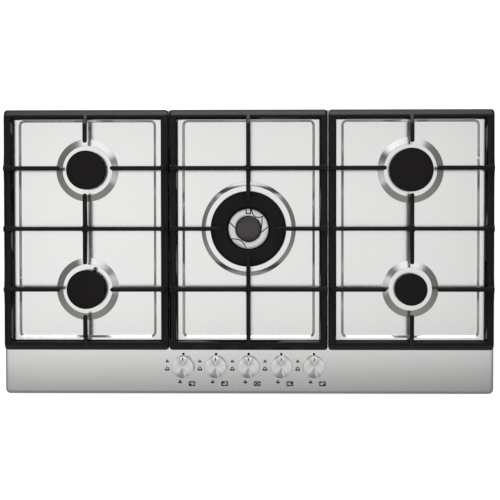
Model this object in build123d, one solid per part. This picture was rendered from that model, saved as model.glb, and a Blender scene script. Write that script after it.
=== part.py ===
from build123d import *
import math
import os

os.makedirs("parts", exist_ok=True)

# Five-burner built-in gas cooktop. X points right, Y to the back and Z up.
# The origin is the centre of the casing's flat underside. All sizes are millimetres.

# Top plate, pressed from stainless sheet
plate_width = 860.0
plate_depth = 500.0
plate_corner = 5.0
plate_sheet = 1.0
edge_chamfer = 0.8
skirt_gap = 0.5  # the folded edge stops this far above the worktop
seal_height = 4.0
seal_width = 9.5
seal_play = 0.5  # between the foam seal and the folded edge

# Pans: the three recessed fields under the trivets
pan_depth = 5.0
pan_wall_run = 3.5  # how far a pan's wall leans outwards on its way up
pan_corner = 6.5
pan_front_land = 103.0  # plate's front edge to the pans' floors
side_pan_land = 29.0  # plate's side edge to the outer pans' floors
pan_gap = 54.0  # land between two pans' floors
centre_pan_width = 225.0
pan_to_casing = 1.0

# Mounds: the raised seats that keep spills away from the burners
mound_height = 4.0
medium_mound_r = 55.0
large_mound_r = 58.0
small_mound_r = 49.5
wok_mound_r = 83.0
mound_slope = 11.5  # run of a mound's sloping side
wok_mound_slope = 7.5
hole_play = 0.5  # between a crown and the hole that it stands in
spindle_hole_r = 5.0

# Casing, the folded tray under the plate
casing_height = 50.0
casing_sheet = 1.0
casing_side_inset = 16.0
casing_end_inset = 15.0
notch_width = 60.0  # corner left open for the gas inlet
notch_depth = 60.0
bead_width = 22.0
bead_height = 3.5
bead_end_gap = 12.0
vent_count = 9
vent_length = 36.0
vent_width = 4.0
vent_pitch = 60.0
vent_inset = 60.0

# Burner places, from the plate's sides and the trivets' front and back
side_burner_land = 146.0
rear_burner_land = 105.0
front_burner_land = 106.0
wok_shift = 1.5  # the wok burner stands behind the middle of the trivets

# Burner heights and walls
crown_height = 17.0
crown_wall = 6.0
cap_overhang = 8.0  # a side cap reaches this far past its crown
cap_height = 8.0
medium_cap_r = 34.0
large_cap_r = 38.0
small_cap_r = 28.0
side_port_count = 12
cap_rib_count = 3
cap_rib_width = 2.0
port_width = 2.0
port_depth = 4.0
cup_floor = 4.0
cup_foot_side = 28.0
cup_bottom = 8.0
cup_foot_height = 17.0
cup_seat = 5.0  # width of the cup's rim under the crown
socket_reach = 18.0
socket_width = 12.0
injector_flat = 8.0
injector_height = 10.0

# Wok burner
wok_crown_height = 15.0
wok_deck_height = 10.0
wok_inner_height = 17.0
wok_ring_wall = 6.0
wok_inner_r = 18.0
wok_land_r = 44.0
wok_land_wall = 4.0
wok_ring_cap_r = 66.0
wok_ring_cap_hole = 38.0
wok_ring_cap_height = 7.0
wok_ring_overhang = 6.0
wok_inner_cap_r = 21.5
wok_inner_cap_height = 5.5
wok_electrode_reach = 32.0
wok_port_count = 24
wok_inner_port_count = 6

# Spark electrodes
electrode_r = 2.8
electrode_play = 0.05
electrode_rise = 8.0  # ceramic above the plateau
electrode_tip = 3.0
electrode_tip_side = 1.2
electrode_web = 1.5  # metal left between the crown's hole and the electrode's
electrode_angle = 68.0
exposed_reach = 37.3  # the front left electrode stands clear of its cap

# Trivets, cast iron
trivet_side_margin = 3.0
trivet_rear_margin = 1.0
trivet_front_land = 79.0
trivet_gap = 2.0
centre_trivet_width = 276.0
trivet_corner = 5.0
trivet_clear = 4.0  # height of the rubber pads
rail_height = 19.0
rail_width = 12.0
rail_flat = 4.5
rail_draft = 2.0
rail_slope_run = 10.0
rail_slope_rise = 8.0
bar_width = 6.8
bar_rise = 12.0  # bar tops above the rails
bar_root = 1.0  # bars reach this far down into the rails
bar_outer_inset = 0.8  # from a trivet's outer side to the bars' ends
bar_inner_inset = 4.0
bar_pad_width = 9.0
crossing_fillet = 3.5
root_fillet = 4.5
finger_reach = 44.0
wok_finger_reach = 46.0
arch_rise = 4.0
arch_inner_r = 50.0
arch_outer_r = 95.0
rear_bar_shift = 3.0
wok_bar_shift = 0.3
front_bar_shift = 0.6
pad_length = 16.0
pad_width = 9.0

# Knobs and taps
knob_count = 5
knob_pitch = 57.5
knob_front_land = 49.0
knob_r = 19.0
knob_height = 18.0
knob_top_wall = 3.0
knob_stop_gap = 0.5
push_travel = 4.0
spindle_r = 3.0
spindle_flat = 2.0  # distance of the flat from the spindle's axis
spindle_fit = 0.05
tang_width = 5.2
tang_thickness = 1.8
tang_play = 0.1
pin_length = 9.6
pin_side = 2.0
stop_gap = 0.3
bonnet_height = 2.5
bonnet_play = 0.3
tap_width = 20.0
tap_front = 15.0  # from the spindle to the face on the gas rail
tap_back = 12.0
tap_bottom = 12.0
tap_floor = 2.7
plug_height = 10.0
plug_r = 6.0
plug_fit = 0.05
plug_slot_depth = 8.0
tang_in_plug = 3.5
spring_length = 10.0
spring_width = 9.2
spring_wire = 0.8
switch_width = 6.0
switch_depth = 12.0
switch_height = 14.0

# Gas rail, pipes and inlet
rail_tube = 16.0
rail_tube_wall = 1.5
rail_tube_end = 20.0
rail_tube_axis_z = 24.0
tube_r = 4.0
tube_z = 20.0
front_turn_run = 81.0  # knob line to the bend of a front burner's tube
rear_turn_run = 141.0
pipe_r = 6.0
pipe_end_gap = 15.0
thread_r = 10.48  # half of the outside diameter of a G1/2 thread
thread_length = 14.0
inlet_bore_r = 6.0
inlet_drop = 3.0  # the thread's end stays this far above the casing's underside
elbow_side = 24.0
elbow_height = 20.0
elbow_spigot_r = 6.8
elbow_spigot_play = 0.5

# Fasteners and electrical pieces
pillar_flat = 8.0
front_pillar_land = 45.0
rear_pillar_land = 35.0
bracket_land = 85.0
bracket_width = 16.0
bracket_sheet = 1.5
bracket_low = 8.0
bracket_tall = 28.0
bracket_reach = 12.0
generator_width = 60.0
generator_depth = 46.0
generator_height = 26.0
generator_land = 60.0
generator_tag_width = 4.0
generator_tag_reach = 6.0
generator_tag_height = 4.0
terminal_width = 26.0
terminal_depth = 30.0
terminal_height = 18.0
terminal_gap = 6.0
gland_flat = 14.0
gland_length = 12.0
gland_bore_r = 3.5
gland_z = 36.0
gland_inset = 13.0

# Heights that follow from the sizes above
plate_under = casing_height
plate_top = plate_under + plate_sheet
worktop_z = plate_under - seal_height
pan_floor = plate_top - pan_depth
plateau = pan_floor + mound_height
plateau_under = plateau - plate_sheet
crown_top = plateau_under + crown_height
wok_crown_top = plateau_under + wok_crown_height
rail_bottom = plate_top + trivet_clear
rail_top = rail_bottom + rail_height
bar_top = rail_top + bar_rise
bar_bottom = rail_top - bar_root
knob_bottom = plate_top + push_travel + knob_stop_gap
knob_top = knob_bottom + knob_height
spindle_top = knob_top - knob_top_wall - stop_gap
plug_bottom = tap_bottom + tap_floor + stop_gap
plug_top = plug_bottom + plug_height
pin_bottom = plug_top + spring_length
pin_top = pin_bottom + pin_side
tap_top = pin_top + stop_gap

# Places in plan that follow from the sizes above
casing_x = plate_width / 2 - casing_side_inset
casing_y = plate_depth / 2 - casing_end_inset
notch_x = casing_x - notch_width
notch_y = casing_y - notch_depth
wall_lean = math.degrees(math.atan2(pan_wall_run, pan_depth))
wall_growth = plate_sheet * math.tan(math.radians(90 - wall_lean) / 2)
pan_rear_y = casing_y - casing_sheet - pan_to_casing - pan_wall_run - wall_growth
pan_front_y = pan_front_land - plate_depth / 2
side_pan_outer = plate_width / 2 - side_pan_land
side_pan_inner = centre_pan_width / 2 + pan_gap
land_x = (side_pan_inner + centre_pan_width / 2) / 2
trivet_rear_y = plate_depth / 2 - trivet_rear_margin
trivet_front_y = trivet_front_land - plate_depth / 2
trivet_outer_x = plate_width / 2 - trivet_side_margin
side_trivet_x = centre_trivet_width / 2 + trivet_gap
side_burner_x = plate_width / 2 - side_burner_land
rear_burner_y = trivet_rear_y - rear_burner_land
front_burner_y = trivet_front_y + front_burner_land
wok_y = (rear_burner_y + front_burner_y) / 2 + wok_shift
rear_bar_y = rear_burner_y + rear_bar_shift
wok_bar_y = wok_y + wok_bar_shift
front_bar_y = front_burner_y + front_bar_shift
knob_y = knob_front_land - plate_depth / 2
front_turn_y = knob_y + front_turn_run
rear_turn_y = knob_y + rear_turn_run
front_pillar_y = front_pillar_land - casing_y
rear_pillar_y = casing_y - rear_pillar_land
bracket_y = casing_y - bracket_land
generator_y = casing_y - generator_land
knob_xs = [knob_pitch * (k - (knob_count - 1) / 2) for k in range(knob_count)]
rail_tube_y = knob_y - tap_front - rail_tube / 2
inlet_x = notch_x + notch_width / 2
inlet_y = notch_y + notch_depth / 2


class Burner:
    # One burner's place and its own radii
    def __init__(self, name, x, y, cap_r, mound_r, slope=mound_slope, exposed=False):
        self.name = name
        self.x = x
        self.y = y
        self.cap_r = cap_r
        self.mound_r = mound_r
        self.plateau_r = mound_r - slope
        self.crown_r = cap_r - cap_overhang
        self.bore_r = self.crown_r - cup_seat
        self.reach = self.crown_r + hole_play + electrode_web + electrode_r + hole_play
        if exposed:
            self.reach = exposed_reach
        self.flange_r = self.reach + electrode_r + electrode_web

    def spark_place(self):
        turn = math.radians(electrode_angle)
        return self.x + self.reach * math.cos(turn), self.y + self.reach * math.sin(turn)


class WokBurner(Burner):
    def __init__(self):
        super().__init__("wok", 0.0, wok_y, wok_ring_cap_r, wok_mound_r, wok_mound_slope)
        self.crown_r = wok_ring_cap_r - wok_ring_overhang
        self.bore_r = self.crown_r - wok_ring_wall
        self.flange_r = self.crown_r + cup_seat
        self.reach = wok_electrode_reach

    def spark_place(self):
        return self.x, self.y + self.reach


left_front = Burner(
    "left_front", -side_burner_x, front_burner_y, medium_cap_r, medium_mound_r, exposed=True
)
left_rear = Burner("left_rear", -side_burner_x, rear_burner_y, medium_cap_r, medium_mound_r)
right_rear = Burner("right_rear", side_burner_x, rear_burner_y, large_cap_r, large_mound_r)
right_front = Burner("right_front", side_burner_x, front_burner_y, small_cap_r, small_mound_r)
side_burners = [left_front, left_rear, right_rear, right_front]
wok = WokBurner()
burners = side_burners + [wok]


def block(x_low, x_high, y_low, y_high, z_low, z_high):
    corner = Pos(x_low, y_low, z_low)
    return corner * Box(
        x_high - x_low, y_high - y_low, z_high - z_low, align=(Align.MIN, Align.MIN, Align.MIN)
    )


def post(x, y, r, z_low, z_high):
    return Pos(x, y, z_low) * Cylinder(
        r, z_high - z_low, align=(Align.CENTER, Align.CENTER, Align.MIN)
    )


def cone(x, y, low_r, high_r, z_low, z_high):
    return Pos(x, y, z_low) * Cone(
        low_r, high_r, z_high - z_low, align=(Align.CENTER, Align.CENTER, Align.MIN)
    )


def hexagon(across_flats, height):
    return extrude(RegularPolygon(across_flats / 2, 6, major_radius=False), amount=height)


def turned(points):
    # Solid of revolution about Z from (radius, height) points
    return revolve(Plane.XZ * Polygon(*points, align=None), axis=Axis.Z)


def write(name, shapes):
    # A group of separate pieces goes out as one compound, a single piece by itself
    pieces = list(shapes) if isinstance(shapes, (list, tuple)) else [shapes]
    shape = pieces[0] if len(pieces) == 1 else Compound(children=pieces)
    export_step(shape, f"parts/{name}.step")


# The top plate


def pan_well(x_low, x_high, drop, growth):
    floor = RectangleRounded(
        x_high - x_low + 2 * growth,
        pan_rear_y - pan_front_y + 2 * growth,
        pan_corner + growth,
    )
    place = Pos((x_low + x_high) / 2, (pan_front_y + pan_rear_y) / 2, pan_floor - drop)
    return extrude(place * floor, amount=pan_depth + drop + 1, taper=-wall_lean)


def mound(burner, drop):
    lean = math.atan2(mound_height, burner.mound_r - burner.plateau_r)
    shrink = drop * math.tan(lean / 2)
    low = pan_floor - drop
    return cone(
        burner.x,
        burner.y,
        burner.mound_r - shrink,
        burner.plateau_r - shrink,
        low,
        low + mound_height,
    )


def pressed_slab(drop, growth):
    # Everything under one face of the sheet; drop 0 is its upper face
    low = pan_floor - 3 * plate_sheet
    outline = RectangleRounded(plate_width, plate_depth, plate_corner)
    slab = extrude(Pos(0, 0, low) * outline, amount=plate_top - drop - low)
    if drop == 0:
        rim = slab.faces().sort_by(Axis.Z)[-1].edges()
        slab = chamfer(rim, edge_chamfer)
    slab -= pan_well(-centre_pan_width / 2, centre_pan_width / 2, drop, growth)
    slab -= pan_well(side_pan_inner, side_pan_outer, drop, growth)
    slab -= pan_well(-side_pan_outer, -side_pan_inner, drop, growth)
    for burner in burners:
        slab += mound(burner, drop)
    return slab


def top_plate():
    plate = pressed_slab(0, 0) - pressed_slab(plate_sheet, wall_growth)
    outline = RectangleRounded(plate_width, plate_depth, plate_corner)
    inside = RectangleRounded(
        plate_width - 2 * plate_sheet, plate_depth - 2 * plate_sheet, plate_corner - plate_sheet
    )
    skirt_low = worktop_z + skirt_gap
    plate += extrude(Pos(0, 0, skirt_low) * (outline - inside), amount=plate_under - skirt_low)
    for burner in burners:
        hole = burner.crown_r + hole_play
        plate -= post(burner.x, burner.y, hole, pan_floor, plate_top)
    for burner in side_burners:
        x, y = burner.spark_place()
        plate -= post(x, y, electrode_r + hole_play, pan_floor, plate_top)
    for x in knob_xs:
        plate -= post(x, knob_y, spindle_hole_r, pan_floor, plate_top + 1)
    return plate


def worktop_seal():
    outer_x = plate_width - 2 * (plate_sheet + seal_play)
    outer_y = plate_depth - 2 * (plate_sheet + seal_play)
    ring = RectangleRounded(outer_x, outer_y, plate_corner - plate_sheet)
    ring -= Rectangle(outer_x - 2 * seal_width, outer_y - 2 * seal_width)
    return extrude(Pos(0, 0, worktop_z) * ring, amount=seal_height)


# The casing, with its pillars and clamps


def casing_plan(inset):
    tray = Rectangle(2 * (casing_x - inset), 2 * (casing_y - inset))
    corner = Rectangle(notch_width, notch_depth, align=Align.MIN)
    return tray - Pos(notch_x - inset, notch_y - inset) * corner


def lower_casing():
    tray = extrude(casing_plan(0), amount=casing_height)
    tray -= extrude(Pos(0, 0, casing_sheet) * casing_plan(casing_sheet), amount=casing_height)
    half = casing_y - bead_end_gap
    for x in (-land_x, land_x):
        over = bead_width / 2 + casing_sheet
        tray += block(x - over, x + over, -half, half, 0, bead_height + casing_sheet)
        end = half - casing_sheet
        tray -= block(x - bead_width / 2, x + bead_width / 2, -end, end, 0, bead_height)
    for n in range(vent_count):
        x = vent_pitch * (n - (vent_count - 1) / 2)
        for y in (-casing_y + vent_inset, casing_y - vent_inset):
            if abs(abs(x) - land_x) > (bead_width + vent_width) / 2 + 2 * casing_sheet:
                tray -= Pos(x, y, 0) * Box(vent_width, vent_length, 3 * casing_sheet)
    under_pan = pan_floor - plate_sheet
    tray -= block(
        notch_x - casing_sheet, casing_x, notch_y - casing_sheet, casing_y, under_pan, casing_height
    )
    spigot = Cylinder(elbow_spigot_r + elbow_spigot_play, 3 * casing_sheet)
    tray -= Pos(inlet_x, notch_y - casing_sheet / 2, rail_tube_axis_z) * Rot(90, 0, 0) * spigot
    gland = Cylinder(gland_bore_r, 3 * casing_sheet)
    tray -= Pos(notch_x - casing_sheet / 2, casing_y - gland_inset, gland_z) * Rot(0, 90, 0) * gland
    return tray


def pillar_places():
    return [(x, y) for x in (-land_x, land_x) for y in (front_pillar_y, rear_pillar_y)]


def casing_pillars():
    low = bead_height + casing_sheet
    pillar = hexagon(pillar_flat, plate_under - low)
    return [Pos(x, y, low) * pillar for x, y in pillar_places()]


def bracket_places():
    return [(x, y) for x in (-casing_x, casing_x) for y in (-bracket_y, bracket_y)]


def clamp_brackets():
    brackets = []
    half = bracket_width / 2
    for x, y in bracket_places():
        side = math.copysign(1, x)
        leg = block(0, bracket_sheet, -half, half, bracket_low, bracket_low + bracket_tall)
        leg += block(0, bracket_reach, -half, half, bracket_low, bracket_low + bracket_sheet)
        if side < 0:
            leg = mirror(leg, about=Plane.YZ)
        brackets.append(Pos(x, y, 0) * leg)
    return brackets


# Burners


def tube_turn(burner):
    # Where the feed tube turns towards its burner
    index = [left_front, left_rear, wok, right_rear, right_front].index(burner)
    turn_y = rear_turn_y if burner.y > wok_y else front_turn_y
    return knob_xs[index], turn_y


def feed_heading(burner):
    # Angle in plan from the burner's axis to its feed tube
    x, y = tube_turn(burner)
    return math.degrees(math.atan2(y - burner.y, x - burner.x))


def burner_cup(burner):
    # Mixing cup under the plate: a square foot with the tube's socket, and a bowl up to the plate
    foot_top = cup_bottom + cup_foot_height
    side = cup_foot_side / 2
    foot = block(-side, side, -side, side, cup_bottom, foot_top)
    half = socket_width / 2
    foot += block(side, socket_reach, -half, half, tube_z - half, foot_top)
    bowl = post(0, 0, burner.flange_r, foot_top, plateau_under)
    bowl -= post(0, 0, burner.bore_r, foot_top + cup_floor, plateau_under)
    return Pos(burner.x, burner.y, 0) * Rot(0, 0, feed_heading(burner)) * (foot + bowl)


def injector(burner):
    low = cup_bottom + cup_foot_height + cup_floor
    return Pos(burner.x, burner.y, low) * hexagon(injector_flat, injector_height)


def port_slots(r_low, r_high, top, count):
    # Radial flame ports cut down from a ring's top
    slot = block(r_low, r_high, -port_width / 2, port_width / 2, top - port_depth, top + 1)
    return [Rot(0, 0, 360 * (n + 0.5) / count) * slot for n in range(count)]


def side_crown(burner):
    ring = post(0, 0, burner.crown_r, plateau_under, crown_top)
    ring -= post(0, 0, burner.crown_r - crown_wall, plateau_under, crown_top)
    ring -= port_slots(burner.crown_r - crown_wall - 1, burner.crown_r + 1, crown_top, side_port_count)
    return Pos(burner.x, burner.y, 0) * ring


def wok_crown():
    # Outer flame ring, inner land and centre crown, standing on one deck
    deck = plateau_under + wok_deck_height
    inner_top = plateau_under + wok_inner_height
    section = [
        (0, plateau_under),
        (wok.crown_r, plateau_under),
        (wok.crown_r, wok_crown_top),
        (wok.crown_r - wok_ring_wall, wok_crown_top),
        (wok.crown_r - wok_ring_wall, deck),
        (wok_land_r, deck),
        (wok_land_r, wok_crown_top),
        (wok_land_r - wok_land_wall, wok_crown_top),
        (wok_land_r - wok_land_wall, deck),
        (wok_inner_r, deck),
        (wok_inner_r, inner_top),
        (0, inner_top),
    ]
    crown = turned(section)
    ring_inner = wok.crown_r - wok_ring_wall - 1
    crown -= port_slots(ring_inner, wok.crown_r + 1, wok_crown_top, wok_port_count)
    crown -= port_slots(wok_inner_r - port_depth, wok_inner_r + 1, inner_top, wok_inner_port_count)
    crown -= post(0, wok.reach, electrode_r + electrode_play, plateau_under, deck)
    return Pos(wok.x, wok.y, 0) * crown


def side_cap(burner):
    # Enamelled lid with ribs that find the crown's bore
    lid = post(0, 0, burner.cap_r, crown_top, crown_top + cap_height)
    inner = burner.crown_r - crown_wall - hole_play
    half = cap_rib_width / 2
    for n in range(cap_rib_count):
        rib = block(inner - 2 * cap_rib_width, inner, -half, half, crown_top - port_depth, crown_top)
        lid += Rot(0, 0, 360 * n / cap_rib_count + 30) * rib
    return Pos(burner.x, burner.y, 0) * lid


def wok_ring_cap():
    top = wok_crown_top + wok_ring_cap_height
    ring = post(wok.x, wok.y, wok_ring_cap_r, wok_crown_top, top)
    return ring - post(wok.x, wok.y, wok_ring_cap_hole, wok_crown_top, top)


def wok_inner_cap():
    low = plateau_under + wok_inner_height
    return post(wok.x, wok.y, wok_inner_cap_r, low, low + wok_inner_cap_height)


def electrode(burner):
    # Ceramic pin with its wire tip, standing on the cup
    x, y = burner.spark_place()
    low = plateau_under
    top = plateau + electrode_rise
    if burner is wok:
        top = plateau_under + wok_deck_height + electrode_rise / 2
    pin = post(x, y, electrode_r, low, top)
    side = electrode_tip_side / 2
    return pin + block(x - side, x + side, y - side, y + side, top, top + electrode_tip)


# Trivets


def bar_x(x_low, x_high, y):
    return Pos((x_low + x_high) / 2, y) * Rectangle(x_high - x_low, bar_width)


def bar_y(x, y_low, y_high):
    return Pos(x, (y_low + y_high) / 2) * Rectangle(bar_width, y_high - y_low)


def tip(x, y):
    # Half-round free end of a bar, reaching to its centre of curvature
    return Pos(x, y) * Circle(bar_width / 2)


def rail_pad(x, y, inward, inset):
    # A bar widens where it lands on a side rail
    length = rail_width - inset
    return Pos(x + inward * (inset + length / 2), y) * Rectangle(length, bar_pad_width)


def notch_corners(plan, crossings):
    # The four inner corners at each crossing of two bars
    half = bar_width / 2
    found = []
    for corner in plan.vertices():
        for x, y in crossings:
            if abs(abs(corner.X - x) - half) < 0.01 and abs(abs(corner.Y - y) - half) < 0.01:
                found.append(corner)
    return found


def root_corners(plan, x_places):
    # Where a bar leaves the sloping strip of the front or back rail
    half = bar_width / 2
    lines = (trivet_rear_y - rail_slope_run, trivet_front_y + rail_slope_run)
    found = []
    for corner in plan.vertices():
        for x in x_places:
            on_line = any(abs(corner.Y - y) < 0.01 for y in lines)
            if on_line and abs(abs(corner.X - x) - half) < 0.01:
                found.append(corner)
    return found


def slope_cut(y_edge, outward):
    # Takes the space above the front or back slope, which runs on up the bar roots
    steep = rail_slope_rise / rail_slope_run
    low = rail_top - rail_slope_rise
    above = bar_top + rail_slope_rise
    run = (above - low) / steep
    wedge = Polygon(
        (y_edge + outward * rail_slope_run, low - rail_slope_rise),
        (y_edge - outward * run, above),
        (y_edge + outward * rail_slope_run, above),
        align=None,
    )
    return extrude(Plane.YZ * wedge, amount=plate_width / 2, both=True)


def arch_cut(x, y):
    # The bars' undersides rise towards the burner that they surround
    profile = Polygon(
        (-arch_outer_r, bar_bottom),
        (-arch_inner_r, bar_bottom + arch_rise),
        (arch_inner_r, bar_bottom + arch_rise),
        (arch_outer_r, bar_bottom),
        align=None,
    )
    along = extrude(Plane.XZ * profile, amount=bar_width, both=True)
    return [Pos(x, y) * along, Pos(x, y) * Rot(0, 0, 90) * along]


def trivet(x_low, x_high, plan, crossings, spine_x, burner_places):
    width = x_high - x_low
    middle = (x_low + x_high) / 2
    for y in (trivet_rear_y - rail_slope_run / 2, trivet_front_y + rail_slope_run / 2):
        plan += Pos(middle, y) * Rectangle(width - 2 * trivet_corner, rail_slope_run)
    plan = fillet(notch_corners(plan, crossings), crossing_fillet)
    plan = fillet(root_corners(plan, [spine_x]), root_fillet)
    grid = extrude(Pos(0, 0, bar_bottom) * plan, amount=bar_top - bar_bottom)
    for x, y in burner_places:
        grid -= arch_cut(x, y)
    centre_y = (trivet_rear_y + trivet_front_y) / 2
    depth = trivet_rear_y - trivet_front_y
    end_rail = rail_slope_run + rail_flat
    outline = RectangleRounded(width, depth, trivet_corner)
    frame = extrude(Pos(middle, centre_y, rail_bottom) * outline, amount=rail_height)
    window = Rectangle(width - 2 * (rail_width + rail_draft), depth - 2 * (end_rail + rail_draft))
    lean = -math.degrees(math.atan2(rail_draft, rail_height))
    frame -= extrude(Pos(middle, centre_y, rail_bottom) * window, amount=rail_height, taper=lean)
    casting = frame + grid
    casting -= slope_cut(trivet_rear_y, 1)
    casting -= slope_cut(trivet_front_y, -1)
    return casting


def right_trivet():
    x = side_burner_x
    low = side_trivet_x + bar_inner_inset + bar_width / 2
    high = trivet_outer_x - bar_outer_inset - bar_width / 2
    r = bar_width / 2
    near = finger_reach + r
    plan = bar_x(low, high, wok_bar_y)
    plan += bar_y(x, front_bar_y + near, rear_bar_y - near)
    plan += [tip(x, front_bar_y + near), tip(x, rear_bar_y - near)]
    plan += bar_y(x, rear_bar_y + near, trivet_rear_y - r)
    plan += bar_y(x, trivet_front_y + r, front_bar_y - near)
    plan += [tip(x, rear_bar_y + near), tip(x, front_bar_y - near)]
    for y in (rear_bar_y, front_bar_y):
        plan += [bar_x(low, x - near, y), bar_x(x + near, high, y)]
        plan += [tip(x - near, y), tip(x + near, y)]
    for y in (rear_bar_y, wok_bar_y, front_bar_y):
        plan += rail_pad(side_trivet_x, y, 1, bar_inner_inset)
        plan += rail_pad(trivet_outer_x, y, -1, bar_outer_inset)
    places = [(x, rear_bar_y), (x, front_bar_y)]
    return trivet(side_trivet_x, trivet_outer_x, plan, [(x, wok_bar_y)], x, places)


def centre_trivet():
    half = centre_trivet_width / 2
    low = -half + bar_outer_inset + bar_width / 2
    r = bar_width / 2
    near = wok_finger_reach + r
    plan = bar_y(0, wok_bar_y + near, trivet_rear_y - r)
    plan += bar_y(0, trivet_front_y + r, wok_bar_y - near)
    plan += [tip(0, wok_bar_y + near), tip(0, wok_bar_y - near)]
    plan += [bar_x(low, -near, wok_bar_y), bar_x(near, -low, wok_bar_y)]
    plan += [tip(-near, wok_bar_y), tip(near, wok_bar_y)]
    plan += [bar_x(low, -low, rear_bar_y), bar_x(low, -low, front_bar_y)]
    for y in (rear_bar_y, wok_bar_y, front_bar_y):
        plan += rail_pad(-half, y, 1, bar_outer_inset)
        plan += rail_pad(half, y, -1, bar_outer_inset)
    crossings = [(0, rear_bar_y), (0, front_bar_y)]
    return trivet(-half, half, plan, crossings, 0, [(0, wok_bar_y)])


def trivet_pads(x_low, x_high):
    pads = []
    for x in (x_low + rail_width / 2, x_high - rail_width / 2):
        for y in (trivet_front_y + trivet_corner, trivet_rear_y - trivet_corner - pad_length):
            left = x - pad_width / 2
            pads.append(block(left, left + pad_width, y, y + pad_length, plate_top, rail_bottom))
    return pads


# Knobs, spindles and taps


def knob(x):
    body = post(x, knob_y, knob_r, knob_bottom, knob_top)
    roof = knob_top - knob_top_wall
    return body - d_shaft(x, spindle_r + spindle_fit, spindle_flat + spindle_fit, knob_bottom, roof)


def d_shaft(x, r, flat, z_low, z_high):
    # Round shaft with one flat at its back
    shaft = post(x, knob_y, r, z_low, z_high)
    return shaft - block(x - r, x + r, knob_y + flat, knob_y + r, z_low, z_high)


def spindle(x):
    flat_low = knob_bottom - stop_gap
    shaft_low = plug_top + push_travel + 2 * stop_gap
    stem = post(x, knob_y, spindle_r, shaft_low, flat_low)
    stem += d_shaft(x, spindle_r, spindle_flat, flat_low, spindle_top)
    wide = tang_width / 2
    thick = tang_thickness / 2
    tang_low = plug_top - tang_in_plug
    stem += block(x - thick, x + thick, knob_y - wide, knob_y + wide, tang_low, shaft_low)
    long = pin_length / 2
    side = pin_side / 2
    stem += block(x - long, x + long, knob_y - side, knob_y + side, pin_bottom, pin_top)
    return stem


def tap_plug(x):
    # Barrel that opens the gas way, slotted for the spindle's tang
    plug = post(x, knob_y, plug_r, plug_bottom, plug_top)
    half = tang_thickness / 2 + tang_play
    slot_low = plug_top - plug_slot_depth
    return plug - block(x - half, x + half, knob_y - plug_r, knob_y + plug_r, slot_low, plug_top)


def gas_tap(x):
    half = tap_width / 2
    body = block(x - half, x + half, knob_y - tap_front, knob_y + tap_back, tap_bottom, tap_top)
    return body - post(x, knob_y, plug_r + plug_fit, plug_bottom - stop_gap, tap_top)


def tap_bonnet(x):
    half = tap_width / 2
    high = tap_top + bonnet_height
    bonnet = block(x - half, x + half, knob_y - tap_back, knob_y + tap_back, tap_top, high)
    return bonnet - post(x, knob_y, spindle_r + bonnet_play, tap_top, high)


def push_spring(x):
    # Sleeve of the coil's width and wire, between the plug and the spindle's pin
    sleeve = hexagon(spring_width, spring_length)
    sleeve -= hexagon(spring_width - 2 * spring_wire, spring_length)
    return Pos(x, knob_y, plug_top) * sleeve


def ignition_switch(x):
    left = x + tap_width / 2
    half = switch_depth / 2
    high = tap_top
    return block(left, left + switch_width, knob_y - half, knob_y + half, high - switch_height, high)


# Gas rail, feed tubes and inlet


def gas_rail():
    low = knob_xs[0] - tap_width / 2 - rail_tube_end
    high = knob_xs[-1] + tap_width / 2 + rail_tube_end
    outer = Box(high - low, rail_tube, rail_tube)
    wall = 2 * rail_tube_wall
    inner = Box(high - low - wall, rail_tube - wall, rail_tube - wall)
    return Pos((low + high) / 2, rail_tube_y, rail_tube_axis_z) * (outer - inner)


def feed_tube(burner):
    turn_x, turn_y = tube_turn(burner)
    heading = math.radians(feed_heading(burner))
    start = Vector(turn_x, knob_y + tap_back, tube_z)
    end = Vector(
        burner.x + socket_reach * math.cos(heading),
        burner.y + socket_reach * math.sin(heading),
        tube_z,
    )
    if burner is wok:
        path = Line(start, end)
    else:
        path = Polyline(start, Vector(turn_x, turn_y, tube_z), end)
    mouth = Plane(start, x_dir=(1, 0, 0), z_dir=path % 0) * Circle(tube_r)
    return sweep(mouth, path=path, transition=Transition.RIGHT)


def supply_pipe():
    rail_end = knob_xs[-1] + tap_width / 2 + rail_tube_end
    start = Vector(rail_end, rail_tube_y, rail_tube_axis_z)
    corner = Vector(inlet_x, rail_tube_y, rail_tube_axis_z)
    end = Vector(inlet_x, notch_y - pipe_end_gap, rail_tube_axis_z)
    path = Polyline(start, corner, end)
    mouth = Plane(start, x_dir=(0, 1, 0), z_dir=(1, 0, 0)) * Circle(pipe_r)
    return sweep(mouth, path=path, transition=Transition.RIGHT)


def inlet_elbow():
    # Forged elbow: a spigot through the casing wall, and a threaded end pointing down
    half = elbow_side / 2
    low = inlet_drop + thread_length
    body = block(inlet_x - half, inlet_x + half, inlet_y - half, inlet_y + half, low, low + elbow_height)
    body = chamfer(body.edges().filter_by(Axis.Z), elbow_side / 8)
    spigot_length = inlet_y - notch_y + pipe_end_gap
    spigot = Cylinder(elbow_spigot_r, spigot_length)
    spigot_y = inlet_y - spigot_length / 2
    body += Pos(inlet_x, spigot_y, rail_tube_axis_z) * Rot(90, 0, 0) * spigot
    body += post(inlet_x, inlet_y, thread_r, inlet_drop, low)
    return body - post(inlet_x, inlet_y, inlet_bore_r, inlet_drop, rail_tube_axis_z)


# Electrical pieces


def spark_generator():
    half = generator_width / 2
    deep = generator_depth / 2
    low = casing_sheet
    box = block(-half, half, generator_y - deep, generator_y + deep, low, low + generator_height)
    for n in range(knob_count):
        x = (n - (knob_count - 1) / 2) * generator_width / (knob_count + 1)
        y = generator_y - deep
        tag_low = low + generator_height / 2
        tag_high = tag_low + generator_tag_height
        half_tag = generator_tag_width / 2
        box += block(x - half_tag, x + half_tag, y - generator_tag_reach, y, tag_low, tag_high)
    return box


def terminal_block():
    right = notch_x - casing_sheet - terminal_gap
    back = casing_y - casing_sheet - terminal_gap
    left = right - terminal_width
    front = back - terminal_depth
    return block(left, right, front, back, casing_sheet, casing_sheet + terminal_height)


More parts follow.
